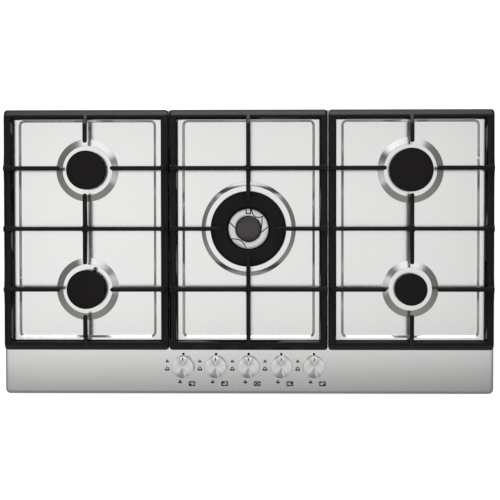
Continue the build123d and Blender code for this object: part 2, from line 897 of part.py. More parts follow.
def cable_gland():
    nut = hexagon(gland_flat, gland_length)
    nut -= post(0, 0, gland_bore_r, 0, gland_length)
    return Pos(notch_x, casing_y - gland_inset, gland_z) * Rot(0, 90, 0) * nut


write("top_plate", top_plate())
write("worktop_seal", worktop_seal())
write("lower_casing", lower_casing())
write("casing_pillars", casing_pillars())
write("clamp_brackets", clamp_brackets())
write("burner_cups", [burner_cup(burner) for burner in burners])
write("injectors", [injector(burner) for burner in burners])
write("burner_crowns", [side_crown(burner) for burner in side_burners] + [wok_crown()])
for burner in side_burners:
    write(f"cap_{burner.name}", side_cap(burner))
write("wok_ring_cap", wok_ring_cap())
write("wok_inner_cap", wok_inner_cap())
write("spark_electrodes", [electrode(burner) for burner in burners])
side = right_trivet()
write("trivet_right", side)
write("trivet_left", mirror(side, about=Plane.YZ))
write("trivet_centre", centre_trivet())
write("trivet_right_pads", trivet_pads(side_trivet_x, trivet_outer_x))
write("trivet_left_pads", trivet_pads(-trivet_outer_x, -side_trivet_x))
write("trivet_centre_pads", trivet_pads(-centre_trivet_width / 2, centre_trivet_width / 2))
for number, x in enumerate(knob_xs, start=1):
    write(f"knob_{number}", knob(x))
    write(f"spindle_{number}", spindle(x))
    write(f"tap_plug_{number}", tap_plug(x))
    write(f"push_spring_{number}", push_spring(x))
write("gas_taps", [gas_tap(x) for x in knob_xs])
write("tap_bonnets", [tap_bonnet(x) for x in knob_xs])
write("ignition_switches", [ignition_switch(x) for x in knob_xs])
write("gas_rail", gas_rail())
write("feed_tubes", [feed_tube(burner) for burner in burners])
write("supply_pipe", supply_pipe())
write("inlet_elbow", inlet_elbow())
write("spark_generator", spark_generator())
write("terminal_block", terminal_block())
write("cable_gland", cable_gland())
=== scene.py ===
import bpy
import bmesh
import math
from mathutils import Matrix, Vector


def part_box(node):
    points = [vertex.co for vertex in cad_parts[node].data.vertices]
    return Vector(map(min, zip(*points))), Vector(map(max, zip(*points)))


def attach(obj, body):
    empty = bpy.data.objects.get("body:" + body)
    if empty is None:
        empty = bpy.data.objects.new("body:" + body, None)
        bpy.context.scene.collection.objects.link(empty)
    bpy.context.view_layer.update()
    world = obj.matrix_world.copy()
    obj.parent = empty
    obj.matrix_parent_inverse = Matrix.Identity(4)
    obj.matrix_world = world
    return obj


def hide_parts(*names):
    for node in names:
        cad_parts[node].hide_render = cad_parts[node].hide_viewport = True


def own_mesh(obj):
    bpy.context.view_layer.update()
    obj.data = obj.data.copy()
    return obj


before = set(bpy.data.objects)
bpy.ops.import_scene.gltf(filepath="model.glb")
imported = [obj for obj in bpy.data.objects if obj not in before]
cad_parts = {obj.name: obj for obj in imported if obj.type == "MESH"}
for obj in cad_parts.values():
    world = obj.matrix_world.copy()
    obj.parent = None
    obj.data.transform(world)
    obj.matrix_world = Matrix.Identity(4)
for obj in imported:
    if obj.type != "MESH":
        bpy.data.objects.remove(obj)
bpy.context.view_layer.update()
mm = 0.001
print("frame loaded")


def meshFrom(bm, name):
    mesh = bpy.data.meshes.new(name)
    bm.to_mesh(mesh)
    bm.free()
    return mesh


def placed(name, data):
    thing = bpy.data.objects.new(name, data)
    bpy.context.scene.collection.objects.link(thing)
    return thing


def ringPoints(cx, cy, r, sides):
    return [
        (cx + r * math.cos(2 * math.pi * n / sides), cy + r * math.sin(2 * math.pi * n / sides))
        for n in range(sides)
    ]


def roundedRectangle(x0, x1, y0, y1, r, steps=10):
    # counter-clockwise, the same number of points whatever the radius
    points = []
    for cx, cy, start in (
        (x1 - r, y1 - r, 0),
        (x0 + r, y1 - r, 90),
        (x0 + r, y0 + r, 180),
        (x1 - r, y0 + r, 270),
    ):
        for n in range(steps + 1):
            a = math.radians(start + 90 * n / steps)
            points.append((cx + r * math.cos(a), cy + r * math.sin(a)))
    return points


def roundCorners(points, radii, steps=6):
    # an open run of (across, height) points, each corner turned into an arc of its radius
    smooth = [points[0]]
    for n in range(1, len(points) - 1):
        corner = Vector(points[n])
        back = Vector(points[n - 1]) - corner
        ahead = Vector(points[n + 1]) - corner
        turn = math.pi - back.angle(ahead)
        r = radii[n - 1]
        if r <= 0 or turn < 1e-4:
            smooth.append(tuple(corner))
            continue
        reach = min(r * math.tan(turn / 2), 0.49 * back.length, 0.49 * ahead.length)
        r = reach / math.tan(turn / 2)
        start = corner + back.normalized() * reach
        middle = corner + (back.normalized() + ahead.normalized()).normalized() * (r / math.cos(turn / 2))
        side = 1 if back.x * ahead.y - back.y * ahead.x < 0 else -1
        spoke = start - middle
        for k in range(steps + 1):
            a = side * turn * k / steps
            across = middle.x + spoke.x * math.cos(a) - spoke.y * math.sin(a)
            height = middle.y + spoke.x * math.sin(a) + spoke.y * math.cos(a)
            smooth.append((across, height))
    smooth.append(points[-1])
    return smooth


def bridge(bm, lower, upper):
    count = len(lower)
    for n in range(count):
        m = (n + 1) % count
        bm.faces.new((lower[n], lower[m], upper[m], upper[n]))


def bridgeAll(bm, loops):
    for lower, upper in zip(loops, loops[1:]):
        bridge(bm, lower, upper)


def loopOf(bm, points, z):
    return [bm.verts.new((x, y, z)) for x, y in points]


def fillBetween(bm, loops):
    # flat sheet with holes between closed loops of vertices
    edges = []
    for loop in loops:
        for pair in zip(loop, loop[1:] + loop[:1]):
            edges.append(bm.edges.get(pair) or bm.edges.new(pair))
    bmesh.ops.triangle_fill(bm, use_beauty=True, use_dissolve=False, edges=edges)


def facingOut(bm):
    bmesh.ops.recalc_face_normals(bm, faces=bm.faces[:])
    if bm.calc_volume(signed=True) < 0:
        bmesh.ops.reverse_faces(bm, faces=bm.faces[:])


def lathe(profile, cx=0.0, cy=0.0, sides=96, closed=False):
    # (radius, height) points turned about an upright axis; a closed profile makes a ring
    bm = bmesh.new()
    rows = []
    for r, z in profile:
        if r < 1e-7:
            rows.append([bm.verts.new((cx, cy, z))])
        else:
            rows.append(loopOf(bm, ringPoints(cx, cy, r, sides), z))
    runs = list(zip(rows, rows[1:]))
    if closed:
        runs.append((rows[-1], rows[0]))
    for low, high in runs:
        for n in range(sides):
            m = (n + 1) % sides
            if len(low) == 1:
                bm.faces.new((low[0], high[m], high[n]))
            elif len(high) == 1:
                bm.faces.new((low[n], low[m], high[0]))
            else:
                bm.faces.new((low[n], low[m], high[m], high[n]))
    facingOut(bm)
    return meshFrom(bm, "turned")


def boxMesh(x0, x1, y0, y1, z0, z1, edge=0.0):
    bm = bmesh.new()
    bmesh.ops.create_cube(bm, size=1.0)
    for v in bm.verts:
        v.co = (x0 if v.co.x < 0 else x1, y0 if v.co.y < 0 else y1, z0 if v.co.z < 0 else z1)
    if edge > 0:
        bmesh.ops.bevel(bm, geom=bm.edges[:], offset=edge, segments=2, profile=0.5, affect="EDGES")
    facingOut(bm)
    return meshFrom(bm, "box")


def slabMesh(outline, z0, z1, holes=()):
    # flat shape with square edges, for printed marks and lands
    bm = bmesh.new()
    tops = [loopOf(bm, points, z1) for points in (outline, *holes)]
    lows = [loopOf(bm, points, z0) for points in (outline, *holes)]
    for top, low in zip(tops, lows):
        bridge(bm, low, top)
    fillBetween(bm, tops)
    fillBetween(bm, lows)
    facingOut(bm)
    return meshFrom(bm, "slab")


def joined(meshes, name):
    bm = bmesh.new()
    for mesh in meshes:
        bm.from_mesh(mesh)
    return meshFrom(bm, name)


def moved(mesh, dx=0.0, dy=0.0, dz=0.0, turn=0.0):
    mesh.transform(Matrix.Translation((dx, dy, dz)) @ Matrix.Rotation(turn, 4, "Z"))
    return mesh


def crossCuts(bm, angle, least=0.004):
    # cut flat faces across at the ends of long straight edges, so that each face keeps a plain outline
    for axis in (0, 1):
        ends = set()
        for edge in bm.edges:
            run = edge.verts[1].co - edge.verts[0].co
            straight = run.length - abs(run[axis]) < 1e-6
            if straight and abs(run[axis]) > least and edge.calc_face_angle(0) > angle:
                ends.update(round(v.co[axis], 5) for v in edge.verts)
        for end in sorted(ends):
            where, along = Vector((0, 0, 0)), Vector((0, 0, 0))
            where[axis], along[axis] = end, 1
            parts = bm.verts[:] + bm.edges[:] + bm.faces[:]
            bmesh.ops.bisect_plane(bm, geom=parts, plane_co=where, plane_no=along, dist=3e-5)


def squareRoots(bm, roots):
    # the small fillets where the bars leave the end rails go, because the rounding makes its own there
    slack = 5e-5
    for vert in bm.verts:
        x, y, z = vert.co
        bar = min(roots["bars"], key=lambda place: abs(x - place))
        atEnd = any(y0 - slack < y < y1 + slack for y0, y1 in roots["ends"])
        beside = roots["half"] - slack < abs(x - bar) < roots["half"] + roots["fillet"] + slack
        if atEnd and beside and roots["low"] - slack < z < roots["high"] + slack:
            vert.co.x = bar + math.copysign(roots["half"], x - bar)
    bmesh.ops.remove_doubles(bm, verts=bm.verts[:], dist=2e-6)


def softCopy(node, edge, roots):
    # a copy of a CAD casting with its edges rounded as the mould leaves them
    bm = bmesh.new()
    bm.from_mesh(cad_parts[node].data)
    bmesh.ops.remove_doubles(bm, verts=bm.verts[:], dist=2e-6)
    squareRoots(bm, roots)
    flat, sharp = math.radians(edge["flat"]), math.radians(edge["sharp"])
    bmesh.ops.dissolve_limit(bm, angle_limit=flat, verts=bm.verts[:], edges=bm.edges[:])
    crossCuts(bm, sharp)
    mesh = meshFrom(bm, node)
    mesh.shade_smooth()
    rounded = placed("rounded", mesh)
    soften = rounded.modifiers.new("soften", "BEVEL")
    soften.width = edge["round"]
    soften.segments = edge["steps"]
    soften.limit_method = "ANGLE"
    soften.angle_limit = sharp
    soften.use_clamp_overlap = False
    soften.harden_normals = True
    return baked(rounded)


def baked(holder):
    # the plain mesh that an object's modifiers make; the object goes
    bpy.context.view_layer.update()
    graph = bpy.context.evaluated_depsgraph_get()
    mesh = bpy.data.meshes.new_from_object(holder.evaluated_get(graph), depsgraph=graph)
    bpy.data.objects.remove(holder)
    return mesh


def addPiece(name, mesh, body, material, replaced=(), crease=35):
    mesh.name = name
    piece = placed(name, mesh)
    mesh.materials.clear()
    mesh.materials.append(material)
    if crease:
        mesh.shade_smooth()
        mesh.set_sharp_from_angle(angle=math.radians(crease))
    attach(piece, body)
    if replaced:
        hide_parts(*replaced)
    return piece


def newNode(tree, kind, inputs=None, **settings):
    node = tree.nodes.new(kind)
    for setting, value in settings.items():
        setattr(node, setting, value)
    for socket, value in (inputs or {}).items():
        node.inputs[socket].default_value = value
    return node


def shaderNode(tree, kind, inputs=None, **settings):
    return newNode(tree, "ShaderNode" + kind, inputs, **settings)


def wire(source, output, sink, entry):
    source.id_data.links.new(source.outputs[output], sink.inputs[entry])


def ramp(tree, start, end, low=0.0, high=1.0):
    # low at the start value, high at the end value, and a straight change between them
    values = {"From Min": start, "From Max": end, "To Min": low, "To Max": high}
    return shaderNode(tree, "MapRange", values)


def startTree(name, inputs):
    tree = bpy.data.node_groups.new(name, "GeometryNodeTree")
    tree.interface.new_socket("Geometry", in_out="INPUT", socket_type="NodeSocketGeometry")
    sockets = {}
    for label, kind in inputs.items():
        socket = tree.interface.new_socket(label, in_out="INPUT", socket_type="NodeSocket" + kind)
        sockets[label] = socket.identifier
    tree.interface.new_socket("Geometry", in_out="OUTPUT", socket_type="NodeSocketGeometry")
    source = newNode(tree, "NodeGroupInput")
    sink = newNode(tree, "NodeGroupOutput")
    return tree, source, sink, sockets


def finishTree(tree, source, sink, geometry):
    realize = newNode(tree, "GeometryNodeRealizeInstances")
    paint = newNode(tree, "GeometryNodeSetMaterial")
    tree.links.new(geometry, realize.inputs["Geometry"])
    wire(realize, "Geometry", paint, "Geometry")
    wire(source, "Material", paint, "Material")
    wire(paint, "Geometry", sink, "Geometry")


def bake(tree, sockets, start, values):
    # run the tree once on a start mesh and keep the plain result
    holder = placed("holder", start)
    modifier = holder.modifiers.new("nodes", "NODES")
    modifier.node_group = tree
    for label, value in values.items():
        modifier[sockets[label]] = value
    return baked(holder)


def toothTree():
    # square teeth round a circle; the gaps between them are the flame ports
    tree, source, sink, sockets = startTree(
        "flamePortTeeth", {"Count": "Int", "Radius": "Float", "Size": "Vector", "Material": "Material"}
    )
    circle = newNode(tree, "GeometryNodeMeshCircle")
    cube = newNode(tree, "GeometryNodeMeshCube")
    place = newNode(tree, "GeometryNodeInstanceOnPoints")
    where = newNode(tree, "GeometryNodeInputPosition")
    aim = newNode(tree, "FunctionNodeAlignRotationToVector", axis="X", pivot_axis="Z")
    wire(source, "Count", circle, "Vertices")
    wire(source, "Radius", circle, "Radius")
    wire(source, "Size", cube, "Size")
    wire(circle, "Mesh", place, "Points")
    wire(cube, "Mesh", place, "Instance")
    wire(where, "Position", aim, "Vector")
    wire(aim, "Rotation", place, "Rotation")
    finishTree(tree, source, sink, place.outputs["Instances"])
    return tree, sockets


def screwTree():
    # hexagon-headed screws with a washer face, one on each point, all pointing along one aim
    tree, source, sink, sockets = startTree(
        "hexagonScrews",
        {
            "Head Radius": "Float",
            "Head Height": "Float",
            "Washer Radius": "Float",
            "Washer Height": "Float",
            "Aim": "Vector",
            "Material": "Material",
        },
    )
    head = newNode(tree, "GeometryNodeMeshCylinder", {"Vertices": 6})
    washer = newNode(tree, "GeometryNodeMeshCylinder", {"Vertices": 32})
    lift = newNode(tree, "GeometryNodeTransform")
    half = shaderNode(tree, "Math", {1: 0.5}, operation="MULTIPLY")
    up = shaderNode(tree, "CombineXYZ")
    join = newNode(tree, "GeometryNodeJoinGeometry")
    aim = newNode(tree, "FunctionNodeAlignRotationToVector", axis="Z")
    place = newNode(tree, "GeometryNodeInstanceOnPoints")
    wire(source, "Head Radius", head, "Radius")
    wire(source, "Head Height", head, "Depth")
    wire(source, "Washer Radius", washer, "Radius")
    wire(source, "Washer Height", washer, "Depth")
    wire(source, "Head Height", half, 0)
    wire(half, "Value", up, "Z")
    wire(head, "Mesh", lift, "Geometry")
    wire(up, "Vector", lift, "Translation")
    wire(lift, "Geometry", join, "Geometry")
    wire(washer, "Mesh", join, "Geometry")
    wire(source, "Aim", aim, "Vector")
    wire(source, "Geometry", place, "Points")
    wire(join, "Geometry", place, "Instance")
    wire(aim, "Rotation", place, "Rotation")
    finishTree(tree, source, sink, place.outputs["Instances"])
    return tree, sockets


def coilTree():
    # a wire coil standing on its start point
    tree, source, sink, sockets = startTree(
        "coilSpring",
        {
            "Turns": "Float",
            "Coil Radius": "Float",
            "Height": "Float",
            "Wire Radius": "Float",
            "Material": "Material",
        },
    )
    spiral = newNode(tree, "GeometryNodeCurveSpiral", {"Resolution": 20})
    section = newNode(tree, "GeometryNodeCurvePrimitiveCircle", {"Resolution": 8})
    sweep = newNode(tree, "GeometryNodeCurveToMesh", {"Fill Caps": True})
    place = newNode(tree, "GeometryNodeInstanceOnPoints")
    wire(source, "Turns", spiral, "Rotations")
    wire(source, "Coil Radius", spiral, "Start Radius")
    wire(source, "Coil Radius", spiral, "End Radius")
    wire(source, "Height", spiral, "Height")
    wire(source, "Wire Radius", section, "Radius")
    wire(spiral, "Curve", sweep, "Curve")
    wire(section, "Curve", sweep, "Profile Curve")
    wire(source, "Geometry", place, "Points")
    wire(sweep, "Mesh", place, "Instance")
    finishTree(tree, source, sink, place.outputs["Instances"])
    return tree, sockets


def pointsMesh(points):
    mesh = bpy.data.meshes.new("places")
    mesh.from_pydata(points, [], [])
    return mesh


def newFinish(name, colour, metallic, roughness, specular=0.5):
    finish = bpy.data.materials.new(name)
    finish.use_nodes = True
    shader = finish.node_tree.nodes["Principled BSDF"]
    values = {
        "Base Color": (*colour, 1),
        "Metallic": metallic,
        "Roughness": roughness,
        "Specular IOR Level": specular,
    }
    for socket, value in values.items():
        shader.inputs[socket].default_value = value
    return finish, shader


def grain(finish, shader, scale, stretch, colours, roughs, bump):
    # fine noise in the object's own space, drawn out along one axis, on colour, gloss and surface
    tree = finish.node_tree
    where = shaderNode(tree, "TexCoord")
    turn = shaderNode(tree, "Mapping", {"Scale": stretch})
    noise = shaderNode(tree, "TexNoise", {"Scale": scale, "Detail": 3.0})
    tint = shaderNode(tree, "Mix", {"A": (*colours[0], 1), "B": (*colours[1], 1)}, data_type="RGBA")
    gloss = ramp(tree, 0.0, 1.0, *roughs)
    wire(where, "Object", turn, "Vector")
    wire(turn, "Vector", noise, "Vector")
    wire(noise, "Fac", tint, "Factor")
    wire(noise, "Fac", gloss, "Value")
    wire(tint, "Result", shader, "Base Color")
    wire(gloss, "Result", shader, "Roughness")
    if bump > 0:
        relief = shaderNode(tree, "Bump", {"Strength": bump, "Distance": 0.0002})
        wire(noise, "Fac", relief, "Height")
        wire(relief, "Normal", shader, "Normal")


def grained(name, colour, metallic, rough, scale, stretch, spread, bump=0.0, specular=0.5):
    finish, shader = newFinish(name, colour, metallic, rough, specular)
    dark = tuple(c * (1 - spread) for c in colour)
    light = tuple(min(1.0, c * (1 + spread)) for c in colour)
    grain(finish, shader, scale, stretch, (dark, light), (rough * 0.85, rough * 1.15), bump)
    return finish


def enamelled(name, colour, rough, scale, spread, sheen):
    # black enamel whose sheen fades on walls that are seen edge-on
    finish = grained(name, colour, 0.0, rough, scale, even, spread, 0.25, sheen)
    tree = finish.node_tree
    facing = shaderNode(tree, "LayerWeight", {"Blend": 0.5})
    fade = ramp(tree, 0.3, 0.8, sheen, 0.0)
    shader = tree.nodes["Principled BSDF"]
    wire(facing, "Facing", fade, "Value")
    wire(fade, "Result", shader, "Specular IOR Level")
    return finish


even = (1.0, 1.0, 1.0)
brushedSteel = grained("brushedSteel", (0.80, 0.80, 0.79), 1.0, 0.17, 1400, (0.4, 1, 1), 0.07)
castEnamel = enamelled("castEnamel", (0.0066, 0.0057, 0.0056), 0.4, 1100, 0.35, 0.17)
capEnamel = enamelled("capEnamel", (0.0085, 0.0072, 0.0066), 0.4, 800, 0.35, 0.11)
glossEnamel = enamelled("glossEnamel", (0.026, 0.0205, 0.02), 0.28, 900, 0.35, 0.6)
landAlloy = grained("landAlloy", (0.86, 0.86, 0.86), 1.0, 0.36, 900, even, 0.06, 0.15)
# matt near-black: the dark bush and top of the left front electrode, and painted shade on the wok crown's
# deck under the lands' gaps
darkAlloyAndPaintedShade = grained("darkAlloyAndPaintedShade", (0.012, 0.012, 0.012), 0.0, 0.7, 600, even, 0.3, 0.2, 0.1)
crownAlloy = grained("crownAlloy", (0.72, 0.72, 0.72), 1.0, 0.42, 700, even, 0.08, 0.2)
cupAlloy = grained("cupAlloy", (0.6, 0.6, 0.6), 1.0, 0.5, 500, even, 0.1, 0.2)
zincSteel = grained("zincSteel", (0.62, 0.63, 0.65), 1.0, 0.36, 60, even, 0.12, 0.1)
railSteel = grained("railSteel", (0.58, 0.58, 0.58), 1.0, 0.35, 300, (0.2, 1, 1), 0.06)
tubeAlloy = grained("tubeAlloy", (0.72, 0.72, 0.73), 1.0, 0.3, 300, even, 0.05)
turnedBrass = grained("turnedBrass", (0.72, 0.53, 0.27), 1.0, 0.3, 500, (1, 1, 0.2), 0.06)
spindleSteel = grained("spindleSteel", (0.6, 0.59, 0.57), 1.0, 0.25, 500, even, 0.05)
springSteel = grained("springSteel", (0.5, 0.5, 0.52), 1.0, 0.28, 500, even, 0.05)
padRubber = grained("padRubber", (0.03, 0.03, 0.03), 0.0, 0.75, 400, even, 0.2, 0.2)
sealFoam = grained("sealFoam", (0.035, 0.035, 0.035), 0.0, 0.9, 600, even, 0.3, 0.5)
whiteCeramic = grained("whiteCeramic", (0.93, 0.92, 0.9), 0.0, 0.18, 200, even, 0.03)
switchPlastic = grained("switchPlastic", (0.78, 0.77, 0.73), 0.0, 0.5, 300, even, 0.04)
housingPlastic = grained("housingPlastic", (0.045, 0.045, 0.05), 0.0, 0.5, 300, even, 0.15, 0.1)
terminalPlastic = grained("terminalPlastic", (0.7, 0.7, 0.68), 0.0, 0.5, 300, even, 0.04)
printInk = grained("printInk", (0.008, 0.008, 0.008), 0.0, 0.5, 800, even, 0.2, 0.05, 0.12)


# painted highlights and painted shade on a knob's face, standing for the room's reflections in the spun
# metal: angle from the right-hand side, and shade
paintedKnobRays = (
    (-180, 0.93), (-144, 0.97), (-132, 0.84), (-118, 0.54), (-100, 0.45), (-84, 0.5),
    (-79, 0.65), (-76, 0.97), (-69, 0.97), (-65, 0.71), (-55, 0.71), (-44, 0.91),
    (-20, 0.97), (34, 0.97), (52, 0.8), (64, 0.69), (76, 0.84), (88, 0.97),
    (100, 0.84), (114, 0.65), (126, 0.76), (142, 0.95), (180, 0.93),
)


def spunFinishPaintedRays():
    # turned knob face: the bright and dark rays across it are painted highlights and painted shade in the
    # base colour, standing for the light that the tool lines throw; the fine rings are the tool lines
    finish, shader = newFinish("spunSteelPaintedRays", (0.82, 0.82, 0.80), 1.0, 0.3)
    tree = finish.node_tree
    local = shaderNode(tree, "UVMap", uv_map="fromAxis")
    centre = shaderNode(tree, "VectorMath", {1: (0.5, 0.5, 0.0)}, operation="SUBTRACT")
    wire(local, "UV", centre, 0)
    parts = shaderNode(tree, "SeparateXYZ")
    wire(centre, "Vector", parts, "Vector")
    angle = shaderNode(tree, "Math", operation="ARCTAN2")
    wire(parts, "Y", angle, 0)
    wire(parts, "X", angle, 1)
    turn = ramp(tree, -math.pi, math.pi)
    wire(angle, "Value", turn, "Value")
    # ramp of painted highlights and painted shade by angle round the face
    rays = shaderNode(tree, "ValToRGB")
    rays.color_ramp.interpolation = "EASE"
    spots = rays.color_ramp.elements
    spots.remove(spots[1])
    for n, (degrees, shade) in enumerate(paintedKnobRays):
        spot = spots[0] if n == 0 else spots.new((degrees + 180) / 360)
        spot.color = (shade, shade, shade * 0.985, 1)
    wire(turn, "Result", rays, "Fac")
    length = shaderNode(tree, "VectorMath", operation="LENGTH")
    wire(centre, "Vector", length, 0)
    rings = shaderNode(tree, "TexNoise", {"Scale": 90, "Detail": 2}, noise_dimensions="1D")
    wire(length, "Value", rings, "W")
    lines = ramp(tree, 0.0, 1.0, 0.9, 1.05)
    wire(rings, "Fac", lines, "Value")
    tint = shaderNode(tree, "VectorMath", operation="SCALE")
    wire(rays, "Color", tint, "Vector")
    wire(lines, "Result", tint, "Scale")
    wire(tint, "Vector", shader, "Base Color")
    return finish


spunSteelPaintedRays = spunFinishPaintedRays()
print("finishes made")

# top plate
burnerNames = ("left_front", "left_rear", "right_rear", "right_front")
capBoxes = {name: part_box("cap_" + name) for name in burnerNames}
plateLow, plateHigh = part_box("top_plate")
ringLow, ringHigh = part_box("wok_ring_cap")
innerLow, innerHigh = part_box("wok_inner_cap")
knobBoxes = [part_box(f"knob_{n}") for n in range(1, 6)]

plate = {
    "sheet": 1.0 * mm,
    "edgeRound": 1.3 * mm,
    "corner": 9.0 * mm,
    "panDepth": 5.0 * mm,
    "wallRun": 3.5 * mm,
    "panCorner": 10.0 * mm,
    "panRound": 1.6 * mm,
    "sideLand": 29.0 * mm,
    "panGap": 54.0 * mm,
    "centreWidth": 225.0 * mm,
    "frontLand": 103.0 * mm,
    "rearLand": 21.33 * mm,
    "moundRise": 4.0 * mm,
    "moundRound": 2.4 * mm,
    "moundFoot": 1.0 * mm,
    "holePlay": 0.5 * mm,
    "capOverhang": 8.0 * mm,
    "knobHole": 5.0 * mm,
    "support": 0.4 * mm,
    "edgeLip": 6.0 * mm,
    "panLip": 4.0 * mm,
    "moundMargin": 3.0 * mm,
    "rimLip": 1.5 * mm,
    "rimDrop": 0.3 * mm,
    "rimRound": 1.0 * mm,
}
mounds = {
    "left_front": (55.0 * mm, 43.5 * mm),
    "left_rear": (55.0 * mm, 43.5 * mm),
    "right_rear": (58.0 * mm, 46.5 * mm),
    "right_front": (49.5 * mm, 38.0 * mm),
}
wokMound = {
    "foot": 83.0 * mm,
    "shoulder": 75.5 * mm,
    "hole": 60.5 * mm,
    "rimLip": 2.0 * mm,
    "footRound": 1.2 * mm,
    "shoulderRound": 1.6 * mm,
}
wokCentre = (ringLow + ringHigh) / 2


def middle(box):
    low, high = box
    return (low.x + high.x) / 2, (low.y + high.y) / 2


def halfWidth(box):
    low, high = box
    return (high.x - low.x) / 2


def burnerCentre(name):
    return middle(capBoxes[name])


def crownRadius(name):
    return halfWidth(capBoxes[name]) - plate["capOverhang"]


def moundLoops(bm, centre, foot, shoulder, rim, lip, rounds, floor):
    # rings from a mound's foot up to the rim of its hole; returns the outermost ring
    cx, cy = centre
    rise = floor + plate["moundRise"]
    outline = [
        (foot + plate["moundMargin"], floor),
        (foot, floor),
        (shoulder, rise),
        (rim + lip, rise),
        (rim, rise - plate["rimDrop"]),
    ]
    profile = roundCorners(outline, [*rounds, plate["rimRound"]], 6)
    rings = [loopOf(bm, ringPoints(cx, cy, outline[0][0] + plate["support"], 120), floor)]
    rings += [loopOf(bm, ringPoints(cx, cy, r, 120), z) for r, z in profile]
    bridgeAll(bm, rings)
    return rings[0]


def pressedPlate():
    bm = bmesh.new()
    top = plateHigh.z
    floor = top - plate["panDepth"]
    x1, y0, y1 = plateHigh.x, plateLow.y, plateHigh.y
    edge = [(plate["edgeLip"], top), (0.0, top), (0.0, plateLow.z)]
    outer = []
    for inset, z in roundCorners(edge, [plate["edgeRound"]], 6):
        r = max(plate["corner"] - inset, 0.4 * mm)
        outline = roundedRectangle(-x1 + inset, x1 - inset, y0 + inset, y1 - inset, r)
        outer.append(loopOf(bm, outline, z))
    bridgeAll(bm, outer)
    halfCentre = plate["centreWidth"] / 2
    innerX = halfCentre + plate["panGap"]
    outerX = x1 - plate["sideLand"]
    pans = {"left": (-outerX, -innerX), "centre": (-halfCentre, halfCentre), "right": (innerX, outerX)}
    wall = roundCorners(
        [
            (-plate["panLip"], top),
            (0.0, top),
            (plate["wallRun"], floor),
            (plate["wallRun"] + plate["panLip"], floor),
        ],
        [plate["panRound"], plate["panRound"]],
        6,
    )
    holes = []
    for side, (panLeft, panRight) in pans.items():
        rims = []
        for inset, z in wall:
            grow = plate["wallRun"] - inset
            outline = roundedRectangle(
                panLeft - grow,
                panRight + grow,
                y0 + plate["frontLand"] - grow,
                y1 - plate["rearLand"] + grow,
                max(plate["panCorner"] - inset, 1 * mm),
            )
            rims.append(loopOf(bm, outline, z))
        bridgeAll(bm, rims)
        holes.append(rims[0])
        feet = []
        for name, (foot, shoulder) in mounds.items():
            centre = burnerCentre(name)
            if panLeft < centre[0] < panRight:
                rim = crownRadius(name) + plate["holePlay"]
                rounds = (plate["moundFoot"], plate["moundRound"])
                feet.append(moundLoops(bm, centre, foot, shoulder, rim, plate["rimLip"], rounds, floor))
        if side == "centre":
            rounds = (wokMound["footRound"], wokMound["shoulderRound"])
            foot, shoulder, rim, lip = (wokMound[key] for key in ("foot", "shoulder", "hole", "rimLip"))
            feet.append(moundLoops(bm, wokCentre.xy, foot, shoulder, rim, lip, rounds, floor))
        fillBetween(bm, [rims[-1], *feet])
    for low, high in knobBoxes:
        centre = (low + high) / 2
        holes.append(loopOf(bm, ringPoints(centre.x, centre.y, plate["knobHole"], 40), top))
    fillBetween(bm, [outer[0], *holes])
    bmesh.ops.recalc_face_normals(bm, faces=bm.faces[:])
    if sum(f.normal.z * f.calc_area() for f in bm.faces) < 0:
        bmesh.ops.reverse_faces(bm, faces=bm.faces[:])
    return meshFrom(bm, "plate")


plateMesh = pressedPlate()
plateMesh.materials.append(brushedSteel)
holder = placed("holder", plateMesh)
# the pressed surface is given the thickness of its sheet
thicken = holder.modifiers.new("sheet", "SOLIDIFY")
thicken.thickness = plate["sheet"]
thicken.offset = -1
thicken.use_even_offset = True
addPiece("pressedTopPlate", baked(holder), "hob", brushedSteel, ("top_plate",), 40)
print("top plate made")

# trivets
trivetEdge = {"round": 1.1 * mm, "steps": 3, "sharp": 30, "flat": 0.5}
barRoots = {
    "bars": (-284.0 * mm, 0.0, 284.0 * mm),
    "ends": ((-161.0 * mm, -156.5 * mm), (234.5 * mm, 239.0 * mm)),
    "half": 3.4 * mm,
    "fillet": 4.5 * mm,
    "low": 74.0 * mm,
    "high": 77.6 * mm,
}
for side in ("left", "centre", "right"):
    node = "trivet_" + side
    casting = softCopy(node, trivetEdge, barRoots)
    addPiece("castTrivet_" + side, casting, node, castEnamel, (node,), None)
print("trivets made")

# caps and crowns
caps = {
    "edgeRound": 1.6 * mm,
    "underRound": 0.8 * mm,
    "ribs": 3,
    "ribWidth": 2.0 * mm,
    "ribLength": 4.0 * mm,
    "ribDepth": 4.0 * mm,
    "ribTurn": 30,
    "crownWall": 6.0 * mm,
}


def capMesh(name):
    low, high = capBoxes[name]
    cx, cy = burnerCentre(name)
    r = halfWidth(capBoxes[name])
    under = low.z + caps["ribDepth"]
    profile = roundCorners(
        [(0, under), (r, under), (r, high.z), (r * 0.5, high.z), (0, high.z)],
        [caps["underRound"], caps["edgeRound"], 0],
        6,
    )
    parts = [lathe(profile, cx, cy, 120)]
    bore = crownRadius(name) - caps["crownWall"] - plate["holePlay"]
    half = caps["ribWidth"] / 2
    for n in range(caps["ribs"]):
        rib = boxMesh(bore - caps["ribLength"], bore, -half, half, low.z, under + 0.2 * mm)
        turn = caps["ribTurn"] + 360 / caps["ribs"] * n
        parts.append(moved(rib, cx, cy, 0, math.radians(turn)))
    return joined(parts, name)


for name in burnerNames:
    addPiece("lid_" + name, capMesh(name), "cap_" + name, capEnamel, ("cap_" + name,))

